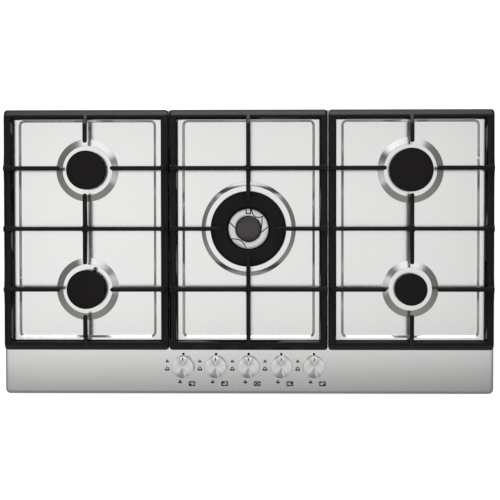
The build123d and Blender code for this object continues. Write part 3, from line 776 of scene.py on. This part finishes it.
wokCap = {
    "hole": 38.0 * mm,
    "seam": 50.0 * mm,
    "fall": 1.2 * mm,
    "fallRun": 6.0 * mm,
    "fallRound": 4.0 * mm,
    "round": 1.8 * mm,
    "footRound": 0.8 * mm,
    "buttonRounds": (0.6 * mm, 1.7 * mm),
    "dome": 1.6 * mm,
    "domeShare": 0.86,
    "domeSteps": 8,
}
ringR = halfWidth((ringLow, ringHigh))
ringProfile = roundCorners(
    [
        (wokCap["seam"], ringLow.z),
        (ringR, ringLow.z),
        (ringR, ringHigh.z - wokCap["fall"]),
        (ringR - wokCap["fallRun"], ringHigh.z),
        (wokCap["hole"], ringHigh.z),
        (wokCap["hole"], ringLow.z),
        (wokCap["seam"], ringLow.z),
    ],
    [wokCap["footRound"], wokCap["round"], wokCap["fallRound"], wokCap["round"], wokCap["footRound"]],
    5,
)
ring = lathe(ringProfile[:-1], wokCentre.x, wokCentre.y, 144, True)
addPiece("wokRingLid", ring, "wok_ring_cap", capEnamel, ("wok_ring_cap",))
buttonR = halfWidth((innerLow, innerHigh))
dome = []
for n in range(wokCap["domeSteps"] + 1):
    reach = buttonR * wokCap["domeShare"] * (1 - n / wokCap["domeSteps"])
    dome.append((reach, innerHigh.z - wokCap["dome"] * (reach / buttonR) ** 2))
domeFoot = innerHigh.z - wokCap["dome"] - 0.2 * mm
outline = [(0, innerLow.z), (buttonR, innerLow.z), (buttonR, domeFoot), dome[0]]
button = roundCorners(outline, wokCap["buttonRounds"], 5)
innerLid = lathe(button[:-1] + dome, wokCentre.x, wokCentre.y, 120)
addPiece("wokInnerLid", innerLid, "wok_inner_cap", glossEnamel, ("wok_inner_cap",))

crown = {
    "height": 17.0 * mm,
    "wall": 6.0 * mm,
    "portDepth": 4.0 * mm,
    "portShare": 0.42,
    "ports": {"left_front": 30, "left_rear": 30, "right_rear": 36, "right_front": 24},
    "deck": 10.0 * mm,
    "wokHeight": 15.0 * mm,
    "wokRadius": 60.0 * mm,
    "wokPorts": 60,
    "landRadius": 44.0 * mm,
    "landWall": 4.0 * mm,
    "innerRadius": 18.0 * mm,
    "innerWall": 5.0 * mm,
    "innerPorts": 18,
    "landTop": 12.2 * mm,
    "edge": 0.3 * mm,
}
teeth, teethSockets = toothTree()


def ringOfTeeth(cx, cy, r, wall, top, count):
    width = 2 * math.pi * r / count * (1 - crown["portShare"])
    values = {
        "Count": count,
        "Radius": r - wall / 2,
        "Size": (wall, width, crown["portDepth"]),
        "Material": crownAlloy,
    }
    mesh = bake(teeth, teethSockets, pointsMesh([(0, 0, 0)]), values)
    return moved(mesh, cx, cy, top - crown["portDepth"] / 2)


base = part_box("burner_crowns")[0].z
crownParts = []
for name in burnerNames:
    cx, cy = burnerCentre(name)
    r = crownRadius(name)
    top = base + crown["height"]
    wallFoot = top - crown["portDepth"]
    bore = r - crown["wall"]
    tube = [(bore, base), (r, base), (r, wallFoot), (bore, wallFoot)]
    crownParts.append(lathe(tube, cx, cy, 96, True))
    crownParts.append(ringOfTeeth(cx, cy, r, crown["wall"], top, crown["ports"][name]))

wx, wy = wokCentre.x, wokCentre.y
deckZ = base + crown["deck"]
wokTop = base + crown["wokHeight"]
portFoot = wokTop - crown["portDepth"]
innerFoot = innerLow.z - crown["portDepth"] * 0.6
outerR, wall = crown["wokRadius"], crown["wall"]
landR, landIn = crown["landRadius"], crown["landRadius"] - crown["landWall"]
innerR, innerWall = crown["innerRadius"], crown["innerWall"]
body = roundCorners(
    [
        (0, base),
        (outerR, base),
        (outerR, portFoot),
        (outerR - wall, portFoot),
        (outerR - wall, deckZ),
        (landR, deckZ),
        (landR, wokTop),
        (landIn, wokTop),
        (landIn, deckZ),
        (innerR, deckZ),
        (innerR, innerFoot),
        (0, innerFoot),
    ],
    [crown["edge"]] * 10,
    2,
)
crownParts.append(lathe(body, wx, wy, 120))
crownParts.append(ringOfTeeth(wx, wy, outerR, wall, wokTop, crown["wokPorts"]))
crownParts.append(ringOfTeeth(wx, wy, innerR, innerWall, innerLow.z, crown["innerPorts"]))
crowns = joined(crownParts, "crowns")
addPiece("burnerCrowns", crowns, "hob", crownAlloy, ("burner_crowns",))

# curved lands between the wok burner's rings: two lenses and four sweeping fields, with gaps between them
# over a sheet of painted shade
petals = {
    "inner": 22.6 * mm,
    "middle": 30.0 * mm,
    "outer": 35.0 * mm,
    "gap": 1.9 * mm,
    "round": 0.3 * mm,
    "shade": 0.3 * mm,
    "bowEdge": 41.0 * mm,
    "bowMiddle": 24.6 * mm,
    "bows": ((83, 38), (-152, -94)),
    "notch": (4.8 * mm, 25.8 * mm, 42.0 * mm),
}


def polarPoint(r, degrees):
    return Vector((math.cos(math.radians(degrees)), math.sin(math.radians(degrees)))) * r


def arcBow(a0, a1, steps=12):
    # bow from the outer edge in towards the axis and out again, angles in degrees
    start, end = polarPoint(petals["bowEdge"], a0), polarPoint(petals["bowEdge"], a1)
    control = 2 * polarPoint(petals["bowMiddle"], (a0 + a1) / 2) - (start + end) / 2
    points = []
    for n in range(steps + 1):
        t = n / steps
        points.append((1 - t) ** 2 * start + 2 * t * (1 - t) * control + t * t * end)
    return points


def ribbonCut(points, width, z0, z1):
    # upright wall along a run of points, used to cut a groove
    left, right = [], []
    for n, p in enumerate(points):
        a = points[max(n - 1, 0)]
        b = points[min(n + 1, len(points) - 1)]
        along = (b - a).normalized()
        side = Vector((-along.y, along.x)) * width / 2
        left.append((wx + p.x + side.x, wy + p.y + side.y))
        right.append((wx + p.x - side.x, wy + p.y - side.y))
    return slabMesh(left + right[::-1], z0, z1)


landTop = base + crown["landTop"]
landFoot = deckZ - 0.2 * mm
landProfile = roundCorners(
    [
        (petals["middle"], landFoot),
        (petals["outer"], landFoot),
        (petals["outer"], landTop),
        (petals["inner"], landTop),
        (petals["inner"], landFoot),
        (petals["middle"], landFoot),
    ],
    [0, petals["round"], petals["round"], 0],
    2,
)
landPlate = lathe(landProfile[:-1], wx, wy, 144, True)
# the straight sweeps between the fields, as (radius in millimetres, angle) from the outer edge inwards
sweeps = (
    ((41, 160), (35.5, 160), (29, 167), (21, 182)),
    ((41, 9), (32, 3), (26, -8), (21, -22)),
    ((31.5, 41), (26.5, 26), (22.5, 2)),
)
grooves = [arcBow(*bow) for bow in petals["bows"]]
grooves += [[polarPoint(r * mm, a) for r, a in run] for run in sweeps]
cutLow, cutHigh = deckZ - 1 * mm, landTop + 1 * mm
cuts = [ribbonCut(run, petals["gap"], cutLow, cutHigh) for run in grooves]
halfNotch, notchIn, notchOut = petals["notch"]
cuts.append(moved(boxMesh(-halfNotch, halfNotch, notchIn, notchOut, cutLow, cutHigh), wx, wy))
holder = placed("holder", landPlate)
cutters = [placed("cutter", cut) for cut in cuts]
for cutter in cutters:
    carve = holder.modifiers.new("carve", "BOOLEAN")
    carve.operation = "DIFFERENCE"
    carve.solver = "EXACT"
    carve.object = cutter
addPiece("wokLands", baked(holder), "hob", landAlloy)
for cutter in cutters:
    bpy.data.objects.remove(cutter)
# a thin near-black sheet on the crown's deck under the lands: painted shade, so that the gaps between the
# lands read dark
shadeIn, shadeOut = innerR + 0.1 * mm, landIn - 0.1 * mm
shadeLow, shadeTop = deckZ - 0.1 * mm, deckZ + petals["shade"]
shade = [(shadeIn, shadeLow), (shadeOut, shadeLow), (shadeOut, shadeTop), (shadeIn, shadeTop)]
addPiece("wokGapsPaintedShade", lathe(shade, wx, wy, 96, True), "hob", darkAlloyAndPaintedShade)
print("burners made")

# spark electrodes
sparks = {
    "radius": 2.8 * mm,
    "wire": 0.6 * mm,
    "tip": 3.0 * mm,
    "collar": 0.5 * mm,
    "collarDepth": 2.2 * mm,
    "reach": 37.3 * mm,
    "angle": 68.0,
    "web": 5.3 * mm,
    "sideTop": 58.0 * mm,
    "wokReach": 32.0 * mm,
    "wokTop": 63.0 * mm,
    "bush": 4.1 * mm,
    "bushLow": 0.2 * mm,
    "bushHigh": 0.6 * mm,
    "lid": 0.1 * mm,
    "blockSides": (2.8 * mm, 4.2 * mm, 2.9 * mm),
    "blockCorner": 0.9 * mm,
    "blockDepths": (4.0 * mm, 0.6 * mm),
}
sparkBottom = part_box("spark_electrodes")[0].z
places = []
for name in burnerNames:
    cx, cy = burnerCentre(name)
    reach = sparks["reach"] if name == "left_front" else crownRadius(name) + sparks["web"]
    turn = math.radians(sparks["angle"])
    places.append((cx + reach * math.cos(turn), cy + reach * math.sin(turn), sparks["sideTop"]))
places.append((wx, wy + sparks["wokReach"], sparks["wokTop"]))


def stub(x, y, r, z0, z1, sides):
    return lathe([(0, z0), (r, z0), (r, z1), (0, z1)], x, y, sides)


# the electrode seen in the photo stands in a dark bush and has a dark top
x, y, top = places[0]
outR, inR = sparks["bush"], sparks["radius"] + 0.1 * mm
level = plateHigh.z - plate["panDepth"] + plate["moundRise"]
bushLow, bushHigh = level - sparks["bushLow"], level + sparks["bushHigh"]
bush = [(inR, bushLow), (outR, bushLow), (outR, bushHigh), (inR, bushHigh)]
bushes = [
    stub(x, y, sparks["radius"], top - sparks["lid"] / 2, top + sparks["lid"], 40),
    lathe(bush, x, y, 40, True),
]
# the wok burner's electrode stands in a ceramic block
x, y, top = places[-1]
side, front, rear = sparks["blockSides"]
block = roundedRectangle(x - side, x + side, y - front, y + rear, sparks["blockCorner"], 4)
ceramics, wires = [slabMesh(block, *(top - depth for depth in sparks["blockDepths"]))], []
for x, y, top in places:
    r, shoulder = sparks["radius"], top - sparks["collarDepth"]
    neck, foot = r - sparks["collar"], sparkBottom
    outline = [(0, foot), (r, foot), (r, shoulder - 0.3 * mm), (neck, shoulder), (neck, top), (0, top)]
    profile = roundCorners(outline, [0, 0.2 * mm, 0.2 * mm, 0.6 * mm], 4)
    ceramics.append(lathe(profile, x, y, 40))
    wires.append(stub(x, y, sparks["wire"], top - 0.5 * mm, top + sparks["tip"], 20))
ceramic = joined(ceramics, "ceramics")
addPiece("electrodeCeramics", ceramic, "hob", whiteCeramic, ("spark_electrodes",))
addPiece("electrodeWires", joined(wires, "wires"), "hob", spindleSteel)
addPiece("electrodeBush", joined(bushes, "bushes"), "hob", darkAlloyAndPaintedShade)
print("electrodes made")

# knobs
knob = {
    "edge": 0.7 * mm,
    "footRound": 0.5 * mm,
    "taper": 2.2 * mm,
    "dish": 0.5 * mm,
    "pointerWidth": 2.0 * mm,
    "pointerLength": 5.6 * mm,
    "pointerInset": 2.0 * mm,
    "pointerDepth": 0.9 * mm,
    "pointerDrop": 0.02 * mm,
    "pointerEdge": 0.1 * mm,
    "bore": 3.05 * mm,
    "boreRoof": 3.0 * mm,
}
for n, (low, high) in enumerate(knobBoxes, start=1):
    cx, cy = middle((low, high))
    r = halfWidth((low, high))
    roof = high.z - knob["boreRoof"]
    profile = roundCorners(
        [
            (knob["bore"], roof),
            (knob["bore"], low.z),
            (r - knob["taper"], low.z),
            (r, high.z),
            (r * 0.5, high.z - knob["dish"] * 0.5),
            (0, high.z - knob["dish"]),
        ],
        [0, knob["footRound"], knob["edge"], 0],
        5,
    )
    turned = lathe([(0, roof), *profile], cx, cy, 120)
    flat = turned.uv_layers.new(name="fromAxis")
    for loop in turned.loops:
        co = turned.vertices[loop.vertex_index].co
        flat.data[loop.index].uv = (0.5 + (co.x - cx) * 20, 0.5 + (co.y - cy) * 20)
    addPiece(f"turnedKnob_{n}", turned, f"knob_{n}", spunSteelPaintedRays, (f"knob_{n}",))
    half = knob["pointerWidth"] / 2
    outerY = cy + r - knob["pointerInset"]
    innerY = outerY - knob["pointerLength"]
    foot, face = high.z - knob["pointerDepth"], high.z - knob["pointerDrop"]
    pointer = boxMesh(cx - half, cx + half, innerY, outerY, foot, face, knob["pointerEdge"])
    addPiece(f"knobPointer_{n}", pointer, f"knob_{n}", printInk)
print("knobs made")

# printed marks beside the knobs
marks = {
    "dotRadius": 2.3 * mm,
    "dotRise": 21.4 * mm,
    "flames": (
        ((-28.7 * mm, 9.0 * mm), (5.8 * mm, 1.8 * mm)),
        ((-28.7 * mm, -4.3 * mm), (8.2 * mm, 4.0 * mm)),
        ((-6.0 * mm, -27.5 * mm), (6.2 * mm, 1.6 * mm)),
    ),
    "footLine": 0.3 * mm,
    "pilot": (-28.7 * mm, -4.6 * mm),
    "pilotHeight": 1.5 * mm,
    "plan": (15.0 * mm, -31.0 * mm),
    "planSize": (11.8 * mm, 8.5 * mm),
    "planCorner": (1.6 * mm, 0.9 * mm),
    "planDots": (2.1 * mm, 0.9 * mm),
    "planSpread": (0.52, 0.46),
    "line": 1.6 * mm,
    "thick": 0.06 * mm,
}


def flameOutline(height, cx, cy, steps=14):
    # small flame: a broad foot drawn up to a point
    points = []
    belly = height / 2.3
    for n in range(2 * steps):
        a = math.radians(90) + 2 * math.pi * n / (2 * steps)
        r = belly * (1 + 0.17 * math.cos(3 * (a - math.pi / 2)) + 0.28 * max(0.0, math.sin(a)) ** 4)
        points.append((cx + 1.12 * r * math.cos(a), cy - belly * 0.28 + 0.9 * r * math.sin(a)))
    return points


def printed(outline, *windows):
    low, high = plateHigh.z - 0.01 * mm, plateHigh.z + marks["thick"]
    ink.append(slabMesh(outline, low, high, windows))


# the burners' places on the little plan, in the order of the knobs from left to right
planPlaces = [(-1, -1), (-1, 1), (0, 0), (1, 1), (1, -1)]
ink = []
for n, box in enumerate(knobBoxes):
    cx, cy = middle(box)
    printed(ringPoints(cx, cy + marks["dotRise"], marks["dotRadius"], 32))
    # outlined flames; the two heights are of the outer and inner edges
    for (dx, dy), (outer, inner) in marks["flames"]:
        window = flameOutline(inner, cx + dx, cy + dy + marks["footLine"])
        printed(flameOutline(outer, cx + dx, cy + dy), window)
    dx, dy = marks["pilot"]
    printed(flameOutline(marks["pilotHeight"], cx + dx, cy + dy))
    px, py = cx + marks["plan"][0], cy + marks["plan"][1]
    halfW, halfH = marks["planSize"][0] / 2, marks["planSize"][1] / 2
    inW, inH = halfW - marks["line"], halfH - marks["line"]
    outerR, innerR = marks["planCorner"]
    outerBox = roundedRectangle(px - halfW, px + halfW, py - halfH, py + halfH, outerR, 5)
    innerBox = roundedRectangle(px - inW, px + inW, py - inH, py + inH, innerR, 5)
    printed(outerBox, innerBox)
    spreadX, spreadY = marks["planSpread"]
    for k, (sx, sy) in enumerate(planPlaces):
        dotR = marks["planDots"][0 if k == n else 1]
        printed(ringPoints(px + sx * halfW * spreadX, py + sy * halfH * spreadY, dotR, 20))
addPiece("printedMarks", joined(ink, "marks"), "hob", printInk)
print("marks made")

# push springs, as real coils
coil, coilSockets = coilTree()
spring = {"turns": 6.5, "wire": 0.4 * mm, "travel": 4.0 * mm}
for n in range(1, 6):
    low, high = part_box(f"push_spring_{n}")
    cx, cy = middle((low, high))
    values = {
        "Turns": spring["turns"],
        "Coil Radius": (high.y - low.y) / 2 - 2 * spring["wire"],
        "Height": high.z - low.z - 2 * spring["wire"],
        "Wire Radius": spring["wire"],
        "Material": springSteel,
    }
    start = pointsMesh([(cx, cy, low.z + spring["wire"])])
    mesh = bake(coil, coilSockets, start, values)
    node = f"push_spring_{n}"
    piece = addPiece(f"pushCoil_{n}", mesh, f"plug_{n}", springSteel, (node,), 60)
    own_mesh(piece)
print("springs made")

# casing screws
hexScrew, screwSockets = screwTree()
screw = {
    "head": 3.6 * mm,
    "headHeight": 2.0 * mm,
    "washer": 4.4 * mm,
    "washerHeight": 0.7 * mm,
    "pillarInsetX": 4.62 * mm,
    "pillarInsetY": 4.0 * mm,
    "underDrop": 1.2 * mm,
    "bracketInset": 8.0 * mm,
    "bracketGap": 1.7 * mm,
    "bracketHeight": 28.0 * mm,
}


def screwsAt(points, aim):
    values = {
        "Head Radius": screw["head"],
        "Head Height": screw["headHeight"],
        "Washer Radius": screw["washer"],
        "Washer Height": screw["washerHeight"],
        "Aim": aim,
        "Material": zincSteel,
    }
    return bake(hexScrew, screwSockets, pointsMesh(points), values)


pillarLow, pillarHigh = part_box("casing_pillars")
pillarX = pillarHigh.x - screw["pillarInsetX"]
pillarYs = (pillarLow.y + screw["pillarInsetY"], pillarHigh.y - screw["pillarInsetY"])
under = [(sx * pillarX, y, pillarLow.z - screw["underDrop"]) for sx in (-1, 1) for y in pillarYs]
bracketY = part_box("clamp_brackets")[1].y - screw["bracketInset"]
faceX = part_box("lower_casing")[1].x + screw["bracketGap"]
screws = [screwsAt(under, (0, 0, -1))]
for side in (-1, 1):
    run = [(side * faceX, sy * bracketY, screw["bracketHeight"]) for sy in (-1, 1)]
    screws.append(screwsAt(run, (side, 0, 0)))
addPiece("casingScrews", joined(screws, "screws"), "hob", zincSteel)
print("screws made")

# plain CAD pieces that only need a finish
cadFinish = {
    "worktop_seal": sealFoam,
    "lower_casing": zincSteel,
    "casing_pillars": zincSteel,
    "clamp_brackets": zincSteel,
    "burner_cups": cupAlloy,
    "injectors": turnedBrass,
    "gas_taps": cupAlloy,
    "tap_bonnets": zincSteel,
    "ignition_switches": switchPlastic,
    "gas_rail": railSteel,
    "feed_tubes": tubeAlloy,
    "supply_pipe": railSteel,
    "inlet_elbow": turnedBrass,
    "spark_generator": housingPlastic,
    "terminal_block": terminalPlastic,
    "cable_gland": housingPlastic,
    "trivet_left_pads": padRubber,
    "trivet_centre_pads": padRubber,
    "trivet_right_pads": padRubber,
}
for n in range(1, 6):
    cadFinish[f"spindle_{n}"] = spindleSteel
    cadFinish[f"tap_plug_{n}"] = turnedBrass
for node, finish in cadFinish.items():
    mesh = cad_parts[node].data
    mesh.materials.clear()
    mesh.materials.append(finish)
print("plain pieces finished")

# studio
studio = {
    "floor": 0.92,
    "floorGlow": 0.45,
    "floorReach": 6.0,
    "floorDrop": 0.5 * mm,
    "height": 2.0,
    "rightDrop": 0.2,
    "stripPlace": (0.0, 1.9, 0.5),
    "stripAim": (0, 0.2, 0.07),
    "stripSize": (1.5, 0.5),
    "stripGlow": 11.0,
    "fill": 0.9,
    "roomTint": (1, 0.97, 0.93, 1),
    "sideGlow": 0.17,
    "frontGlow": 0.12,
    "frontFull": -0.7,
    "horizon": 0.55,
}
# overhead lights: reach across, reach back, soft edges (left, right, front, rear), glow, front edge's slant
panels = {
    "mainPanel": ((-1.15, 1.05), (-0.54, 0.66), (0.3, 0.3, 0.17, 0.2), 0.99, 0.01),
    "rearPanel": ((-1.25, 1.5), (0.85, 2.05), (0.35, 0.35, 0.3, 0.2), 1.15, -0.15),
    "farPanel": ((-2.4, 2.5), (1.95, 3.4), (0.4, 0.4, 0.2, 0.4), 1.1, 0.0),
}
white = (1, 1, 1, 1)


def newSurface(name):
    # an empty material, its tree and its output node
    finish = bpy.data.materials.new(name)
    finish.use_nodes = True
    finish.node_tree.nodes.clear()
    return finish, finish.node_tree, shaderNode(finish.node_tree, "OutputMaterial")


def flatSheet(name, xs, ys, z, finish):
    (x0, x1), (y0, y1) = xs, ys
    mesh = bpy.data.meshes.new(name)
    mesh.from_pydata([(x0, y0, z), (x0, y1, z), (x1, y1, z), (x1, y0, z)], [], [(0, 1, 2, 3)])
    mesh.materials.append(finish)
    return placed(name, mesh)


def glowPanel(name, xs, ys, soft, level, slant):
    # overhead light whose glow fades towards its four edges
    (x0, x1), (y0, y1) = xs, ys
    finish, tree, output = newSurface(name)
    glow = shaderNode(tree, "Emission")
    where = shaderNode(tree, "TexCoord")
    parts = shaderNode(tree, "SeparateXYZ")
    wire(where, "Object", parts, "Vector")
    lean = shaderNode(tree, "Math", {1: -slant}, operation="MULTIPLY_ADD")
    wire(parts, "X", lean, 0)
    wire(parts, "Y", lean, 2)
    edges = (
        (parts.outputs["X"], x0, x0 + soft[0]),
        (parts.outputs["X"], x1, x1 - soft[1]),
        (lean.outputs["Value"], y0, y0 + soft[2]),
        (parts.outputs["Y"], y1, y1 - soft[3]),
    )
    half = studio["rightDrop"] / 2
    drop = ramp(tree, -1.0, 1.0, level * (1 + half), level * (1 - half))
    wire(parts, "X", drop, "Value")
    strength = drop.outputs["Result"]
    for value, dark, full in edges:
        fade = ramp(tree, dark, full)
        tree.links.new(value, fade.inputs["Value"])
        both = shaderNode(tree, "Math", operation="MULTIPLY")
        tree.links.new(strength, both.inputs[0])
        wire(fade, "Result", both, 1)
        strength = both.outputs["Value"]
    tree.links.new(strength, glow.inputs["Strength"])
    wire(glow, "Emission", output, "Surface")
    panel = flatSheet(name, xs, ys, studio["height"], finish)
    panel.visible_camera = False


def eitherRay(tree, first, second):
    # 1 for a ray of either kind, otherwise 0
    rays = shaderNode(tree, "LightPath")
    either = shaderNode(tree, "Math", operation="MAXIMUM")
    wire(rays, first, either, 0)
    wire(rays, second, either, 1)
    return either


for name, panel in panels.items():
    glowPanel(name, *panel)

lamp = bpy.data.lights.new("rearStrip", "AREA")
lamp.shape = "RECTANGLE"
lamp.size, lamp.size_y = studio["stripSize"]
lamp.energy = studio["stripGlow"] * math.pi * lamp.size * lamp.size_y
strip = placed("rearStrip", lamp)
strip.location = studio["stripPlace"]
direction = Vector(studio["stripAim"]) - strip.location
strip.rotation_euler = direction.to_track_quat("-Z", "Y").to_euler()
strip.visible_camera = False

world = bpy.data.worlds.new("studio")
bpy.context.scene.world = world
world.use_nodes = True
tree = world.node_tree
tree.nodes.clear()
output = shaderNode(tree, "OutputWorld")
rays = shaderNode(tree, "LightPath")
where = shaderNode(tree, "TexCoord")
split = shaderNode(tree, "SeparateXYZ")
wire(where, "Generated", split, "Vector")
sideGlow = studio["sideGlow"]
front = ramp(tree, 0.0, studio["frontFull"], sideGlow, sideGlow + studio["frontGlow"])
wire(split, "Y", front, "Value")
low = ramp(tree, studio["horizon"], 0.0)
wire(split, "Z", low, "Value")
room = shaderNode(tree, "Mix", {"B": 1.0}, data_type="FLOAT")
wire(low, "Result", room, "Factor")
wire(front, "Result", room, "A")
mirrored = shaderNode(tree, "Background", {"Color": studio["roomTint"]})
wire(room, "Result", mirrored, "Strength")
plainLight = shaderNode(tree, "Background", {"Color": white, "Strength": studio["fill"]})
backdrop = shaderNode(tree, "Background", {"Color": white, "Strength": 1.0})
glossy = shaderNode(tree, "MixShader")
wire(rays, "Is Glossy Ray", glossy, "Fac")
wire(plainLight, "Background", glossy, 1)
wire(mirrored, "Background", glossy, 2)
seen = eitherRay(tree, "Is Camera Ray", "Is Transmission Ray")
final = shaderNode(tree, "MixShader")
wire(seen, "Value", final, "Fac")
wire(glossy, "Shader", final, 1)
wire(backdrop, "Background", final, 2)
wire(final, "Shader", output, "Surface")

floorFinish, tree, output = newSurface("paleFloor")
matt = shaderNode(tree, "BsdfDiffuse", {"Color": (studio["floor"],) * 3 + (1,)})
glow = shaderNode(tree, "Emission")
seen = eitherRay(tree, "Is Camera Ray", "Is Glossy Ray")
amount = shaderNode(tree, "Math", {1: studio["floorGlow"]}, operation="MULTIPLY")
wire(seen, "Value", amount, 0)
wire(amount, "Value", glow, "Strength")
both = shaderNode(tree, "AddShader")
wire(matt, "BSDF", both, 0)
wire(glow, "Emission", both, 1)
wire(both, "Shader", output, "Surface")
span = (-studio["floorReach"], studio["floorReach"])
flatSheet("floor", span, span, -studio["floorDrop"], floorFinish)

view = {
    "place": (0.0561, 0.0700, 2.4851),
    "turn": (-0.02723, 0.02200, -0.00087),
    "camera": {"lens": 99.76, "sensor_width": 36, "clip_start": 0.05, "clip_end": 50},
}
camera = bpy.data.cameras.new("camera")
for setting, value in view["camera"].items():
    setattr(camera, setting, value)
eye = placed("camera", camera)
eye.location = view["place"]
eye.rotation_euler = view["turn"]
bpy.context.scene.camera = eye
bpy.context.scene.view_settings.view_transform = "Standard"
print("studio made")
